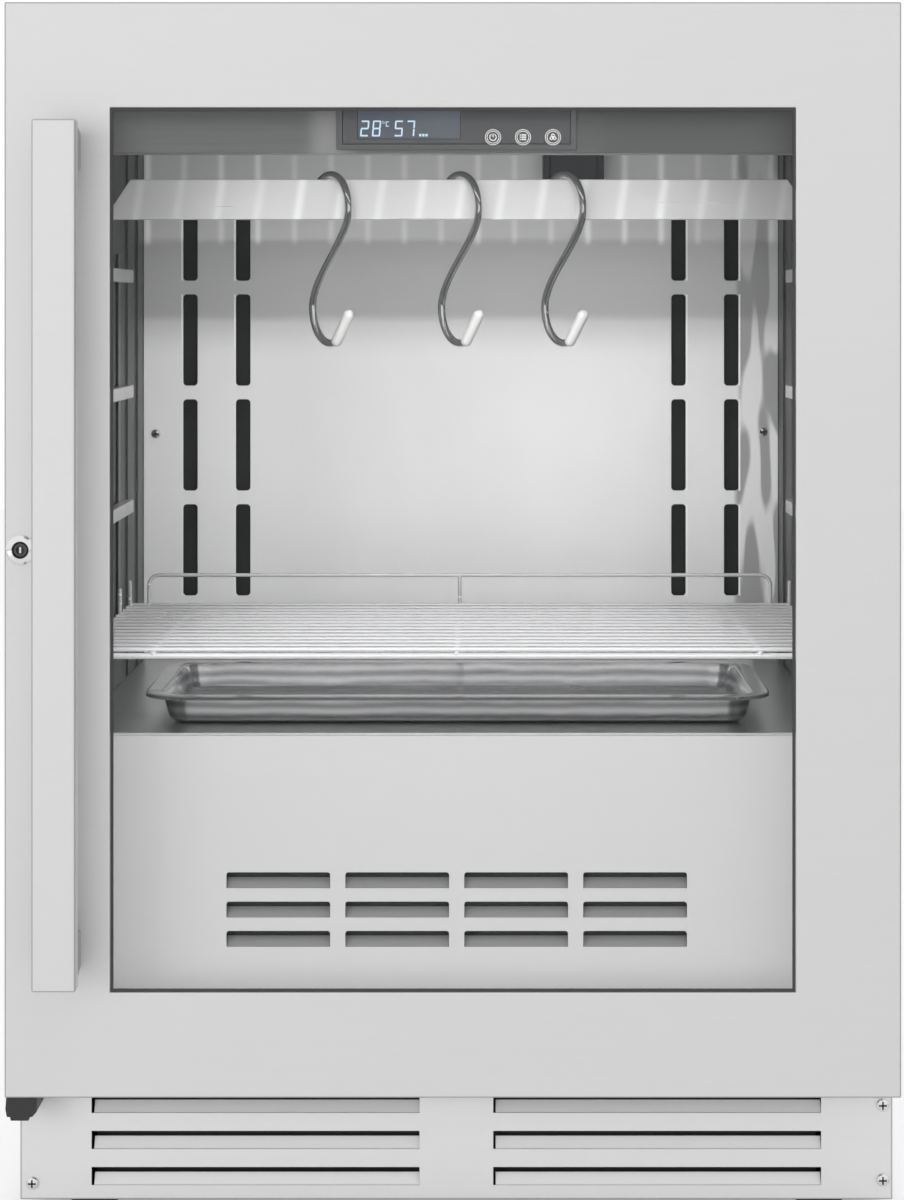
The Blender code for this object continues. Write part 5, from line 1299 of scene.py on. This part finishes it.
# Nodes of the controls that only get rounded edges: node, piece, finish, kind of edge
CONTROL_SHEETS = (
    ("control_fascia", "fascia_sheet", "dark", "thin"),
    ("control_housing", "module_bezel", "bezel", "bezel"),
    ("control_lens", "module_lens", "lens", "fine"),
    ("sensor_housing", "sensor_box", "bezel", "box"),
    ("lamp_strip", "lamp_diffuser", "lamp", "lamp"),
)
# Left margin and base line of the display
DISPLAY_MARGIN = 0.0015
DISPLAY_BASE = 0.0014
# Places on the display, in heights of a digit from the margin
DIGIT_PITCH = 0.74
HUMIDITY_PLACE = 2.14
DEGREE_PLACE = 1.46
LETTER_PLACE = 1.62
DOTS_PLACE = 3.72
# Height of the small signs and how far they are raised, in heights of a digit
SIGN_HEIGHT = 0.32
SIGN_RAISE = 0.62
# Bars of each digit, named clockwise from the top, with g across the middle
DIGIT_BARS = {"0": "abcdef", "1": "bc", "2": "abged", "3": "abgcd", "4": "fgbc", "5": "afgcd",
              "6": "afgedc", "7": "abc", "8": "abcdefg", "9": "abcdfg"}
DIGIT_SLANT = 0.08
# Middles of the touch keys, in the photograph's pixels
KEY_PIXELS = ((493, 137.2), (523, 137.2), (553, 137.2))


class CABINET_OT_controls(bpy.types.Operator):
    """Build the fascia, the module with its lens, the display's digits and the touch keys"""
    bl_idname = "cabinet.controls"
    bl_label = "Controls"

    def execute(self, context):
        sizes = context.scene.cabinet_looks.display
        for sheet in CONTROL_SHEETS:
            edged(*sheet)
        front = low_of("control_lens").y
        field = low_of("display_window")
        height = sizes.digit_height
        left, base = field.x + DISPLAY_MARGIN, field.z + DISPLAY_BASE
        lines = []
        for value, place in ((sizes.temperature, 0), (sizes.humidity, HUMIDITY_PLACE)):
            for number, digit in enumerate("%02d" % value):
                x = left + height * place + number * height * DIGIT_PITCH
                lines += digit_bars(digit, x, base, height, front)
        small = height * SIGN_HEIGHT
        raised = base + height * SIGN_RAISE
        degree = (left + height * DEGREE_PLACE, raised + small * 0.8)
        lines += ring_lines(*degree, small * 0.22, small * 0.08, front)
        lines += letter_c(left + height * LETTER_PLACE, raised, small, front)
        for step in range(3):
            start = left + height * DOTS_PLACE + step * small * 0.62
            lines.append(mark((start, base), (start + small * 0.42, base + small * 0.5), front))
        add_piece("lit_digits", joined(lines), "display_window", "digit")
        keys = joined(key_lines(sizes.key_radius, front))
        # The printed signs glow with painted light
        add_piece("touch_keys", keys, "control_lens", "print")
        return {"FINISHED"}


def mark(low, high, front):
    """A thin printed bar on the lens between two (x, z) corners."""
    return boxed((low[0], front - 2 * SKIN, low[1]), (high[0], front - SKIN / 2, high[1]))


def digit_bars(digit, x, z, height, front):
    """The lit bars of one seven-bar digit."""
    wide, bar = height * 0.52, height * 0.095
    half = height / 2
    gap = bar * 0.35
    places = {
        "a": ((x + gap, z + height - bar), (x + wide - gap, z + height)),
        "g": ((x + gap, z + half - bar / 2), (x + wide - gap, z + half + bar / 2)),
        "d": ((x + gap, z), (x + wide - gap, z + bar)),
        "f": ((x, z + half + gap), (x + bar, z + height - gap)),
        "b": ((x + wide - bar, z + half + gap), (x + wide, z + height - gap)),
        "e": ((x, z + gap), (x + bar, z + half - gap)),
        "c": ((x + wide - bar, z + gap), (x + wide, z + half - gap)),
    }
    bars = [mark(*places[name], front) for name in DIGIT_BARS[digit]]
    for bm in bars:
        for vert in bm.verts:
            vert.co.x += (vert.co.z - z) * DIGIT_SLANT
    return bars


def letter_c(x, z, height, front):
    """The C of the degrees, from three bars."""
    wide, bar = height * 0.6, height * 0.16
    corners = (((x, z), (x + bar, z + height)), ((x, z), (x + wide, z + bar)),
               ((x, z + height - bar), (x + wide, z + height)))
    return [mark(low, high, front) for low, high in corners]


def ring_lines(x, z, radius, width, front, start=0.0, end=math.tau, steps=28):
    """A thin printed ring, or the arc of one between two angles."""
    inner, outer = radius - width / 2, radius + width / 2
    corners = [(inner, -SKIN), (outer, -SKIN), (outer, 0), (inner, 0)]
    if end - start >= math.tau:
        return [turned([*corners, corners[0]], (x, front - SKIN / 2, z), (0, 1, 0), steps)]
    bm = bmesh.new()
    face = bm.faces.new([bm.verts.new((reach, height, 0)) for reach, height in corners])
    bmesh.ops.spin(bm, geom=[face], cent=(0, 0, 0), axis=(0, 1, 0), angle=end - start, steps=steps)
    bmesh.ops.recalc_face_normals(bm, faces=bm.faces)
    bmesh.ops.rotate(bm, cent=(0, 0, 0), matrix=Matrix.Rotation(start, 3, "Y"), verts=bm.verts)
    bmesh.ops.translate(bm, vec=(x, front - SKIN / 2, z), verts=bm.verts)
    return [bm]


def switch_sign(x, z, size, thin, front):
    """An open ring with an upright bar in its gap."""
    lines = ring_lines(x, z, size, thin * 1.4, front, -math.pi * 0.35, math.pi * 1.35)
    return [*lines, mark((x - thin * 0.7, z), (x + thin * 0.7, z + size * 1.1), front)]


def list_sign(x, z, size, thin, front):
    """Three rows, each a long bar after a short one."""
    lines = []
    for row in (-1, 0, 1):
        level = z + row * size * 0.7
        lines.append(mark((x - size * 0.5, level - thin), (x + size, level + thin), front))
        lines.append(mark((x - size, level - thin), (x - size * 0.7, level + thin), front))
    return lines


def rings_sign(x, z, size, thin, front):
    """Three small rings round a middle."""
    lines = []
    for turn in range(3):
        angle = math.tau * turn / 3
        middle = (x + math.sin(angle) * size * 0.6, z + math.cos(angle) * size * 0.6)
        lines += ring_lines(*middle, size * 0.42, thin * 1.4, front, steps=20)
    return lines


def key_lines(radius, front):
    """Three flat touch keys, each two rings round a plain sign."""
    lines = []
    thin = radius * 0.09
    for pixel, sign in zip(KEY_PIXELS, (switch_sign, list_sign, rings_sign)):
        x, _, z = on_plane(*pixel, front)
        for size in (radius, radius * 0.78):
            lines += ring_lines(x, z, size, thin, front, steps=40)
        lines += sign(x, z, radius * 0.42, thin, front)
    return lines


# Nodes that are shown as they are, by finish
KEPT = {
    "seal": ("glazing_seal",),
    "glass": ("outer_pane", "inner_pane"),
    "white": ("hinge_bush_top", "hinge_bush_bottom"),
    "wall": ("inner_liner",),
    "foam": ("insulation",),
    "aluminium": ("evaporator", "condenser"),
    "black": ("chamber_fan_frame", "chamber_fan_rotor", "machine_fan_frame", "machine_fan_rotor",
              "power_box"),
    "paint": ("compressor",),
    "copper": ("discharge_pipe",),
    "display": ("display_window",),
}


class CABINET_OT_kept_nodes(bpy.types.Operator):
    """Give a finish to every node of the frame that is shown as it is"""
    bl_idname = "cabinet.kept_nodes"
    bl_label = "Nodes of the frame"

    def execute(self, context):
        for finish, nodes in KEPT.items():
            for node in nodes:
                materials = NODES[node].data.materials
                materials.clear()
                materials.append(look(finish))
        return {"FINISHED"}


# Half the floor's width, its own light for the camera, and the world's light on the pieces
FLOOR_HALF = 6.0
FLOOR_GLOW = 0.3
WORLD_SOFT = 0.66
# Name, place, target, size and power of each lamp; none is seen by the camera or in gloss
LAMPS = (
    ("key", (-2.1, -3.6, 0.75), (0.0, -0.2, 0.42), (1.6, 1.8), 54.0),
    ("top", (0.3, -0.9, 2.6), (0.0, -0.2, 0.4), (1.6, 1.6), 12.0),
    ("strip", (MIDDLE, -0.157, 0.7512), (MIDDLE, -0.06, 0.45), (0.40, 0.016), 1.8),
    ("window fill", (MIDDLE, -0.2098, 0.560), (MIDDLE, 0.2, 0.560), (0.524, 0.390), 1.5),
    ("panel fill", (MIDDLE, -0.2098, 0.240), (MIDDLE, 0.2, 0.240), (0.524, 0.220), 0.36),
)


class CABINET_OT_stage(bpy.types.Operator):
    """Set the pale floor, the soft light and the camera"""
    bl_idname = "cabinet.stage"
    bl_label = "Stage"

    def execute(self, context):
        bm = bmesh.new()
        bmesh.ops.create_grid(bm, x_segments=1, y_segments=1, size=FLOOR_HALF)
        mesh = bpy.data.meshes.new("floor")
        bm.to_mesh(mesh)
        bm.free()
        floor = bpy.data.objects.new("floor", mesh)
        context.scene.collection.objects.link(floor)
        board = Board("pale floor", Roughness=0.9)
        cloud = board.noise((1.0,) * 3, scale=2.0)
        board.feed(Base_Color=board.blend(cloud, (0.91, 0.91, 0.91), (0.94, 0.94, 0.94)))
        seen = board.node("ShaderNodeLightPath", {}, {}, "Is Camera Ray")
        glow = board.blend(seen, (0.0, 0.0, 0.0), (FLOOR_GLOW,) * 3)
        board.feed(Emission_Color=glow, Emission_Strength=1.0)
        mesh.materials.append(board.look)
        self.set_world(context.scene)
        for name, place, target, size, power in LAMPS:
            self.add_lamp(context.scene, name, Vector(place), Vector(target), size, power)
        self.set_camera(context.scene)
        context.scene.view_settings.view_transform = "Standard"
        return {"FINISHED"}

    def set_world(self, scene):
        """A white surround for the camera, gloss and glass, and a softer one for everything else."""
        world = bpy.data.worlds.new("studio")
        world.use_nodes = True
        tree = world.node_tree
        background = tree.nodes["Background"]
        background.inputs["Color"].default_value = tinted(WHITE)
        path = tree.nodes.new("ShaderNodeLightPath")
        seen = path.outputs["Is Camera Ray"]
        for ray in ("Is Glossy Ray", "Is Transmission Ray"):
            largest = tree.nodes.new("ShaderNodeMath")
            largest.operation = "MAXIMUM"
            tree.links.new(seen, largest.inputs[0])
            tree.links.new(path.outputs[ray], largest.inputs[1])
            seen = largest.outputs[0]
        strength = tree.nodes.new("ShaderNodeMapRange")
        strength.inputs["To Min"].default_value = WORLD_SOFT
        strength.inputs["To Max"].default_value = 1.0
        tree.links.new(seen, strength.inputs["Value"])
        tree.links.new(strength.outputs["Result"], background.inputs["Strength"])
        scene.world = world

    def add_lamp(self, scene, name, place, target, size, power):
        light = bpy.data.lights.new(name, "AREA")
        light.shape = "RECTANGLE"
        light.size, light.size_y = size
        light.energy = power
        lamp = bpy.data.objects.new(name, light)
        lamp.location = place
        lamp.rotation_euler = (target - place).to_track_quat("-Z", "Y").to_euler()
        lamp.visible_camera = False
        lamp.visible_glossy = False
        scene.collection.objects.link(lamp)

    def set_camera(self, scene):
        camera = bpy.data.cameras.new("camera")
        camera.sensor_width = SENSOR
        camera.lens = FOCAL_PIXELS * SENSOR / PHOTO_HEIGHT
        camera.shift_x = (PHOTO_WIDTH / 2 - VANISHING_X) / PHOTO_HEIGHT
        camera.shift_y = (VANISHING_Y - PHOTO_HEIGHT / 2) / PHOTO_HEIGHT
        item = bpy.data.objects.new("camera", camera)
        item.location = CAMERA_PLACE
        item.rotation_euler = (math.pi / 2, 0, 0)
        scene.collection.objects.link(item)
        scene.camera = item


class CABINET_PT_pieces(bpy.types.Panel):
    """The pieces of the cabinet"""
    bl_label = "Dry aging cabinet"
    bl_idname = "CABINET_PT_pieces"
    bl_space_type = "VIEW_3D"
    bl_region_type = "UI"
    bl_category = "Cabinet"

    def draw(self, context):
        looks = context.scene.cabinet_looks
        for group in (looks.steel, looks.wire, looks.display):
            box = self.layout.box()
            for name in group.__annotations__:
                box.prop(group, name)
        for piece in PIECES:
            self.layout.operator(piece.bl_idname)


PIECES = (CABINET_OT_door, CABINET_OT_handle, CABINET_OT_lock, CABINET_OT_body, CABINET_OT_plinth,
          CABINET_OT_feet, CABINET_OT_chamber, CABINET_OT_rail, CABINET_OT_hooks, CABINET_OT_shelf,
          CABINET_OT_tray, CABINET_OT_controls, CABINET_OT_kept_nodes, CABINET_OT_stage)
CLASSES = (SteelSettings, WireSettings, DisplaySettings, CabinetSettings, *PIECES, CABINET_PT_pieces)


def register():
    for item in CLASSES:
        bpy.utils.register_class(item)
    bpy.types.Scene.cabinet_looks = PointerProperty(type=CabinetSettings)


def unregister():
    del bpy.types.Scene.cabinet_looks
    for item in reversed(CLASSES):
        bpy.utils.unregister_class(item)


def main():
    register()
    for piece in PIECES:
        getattr(bpy.ops.cabinet, piece.bl_idname.split(".")[1])()
    bpy.context.view_layer.update()


if __name__ == "__main__":
    main()
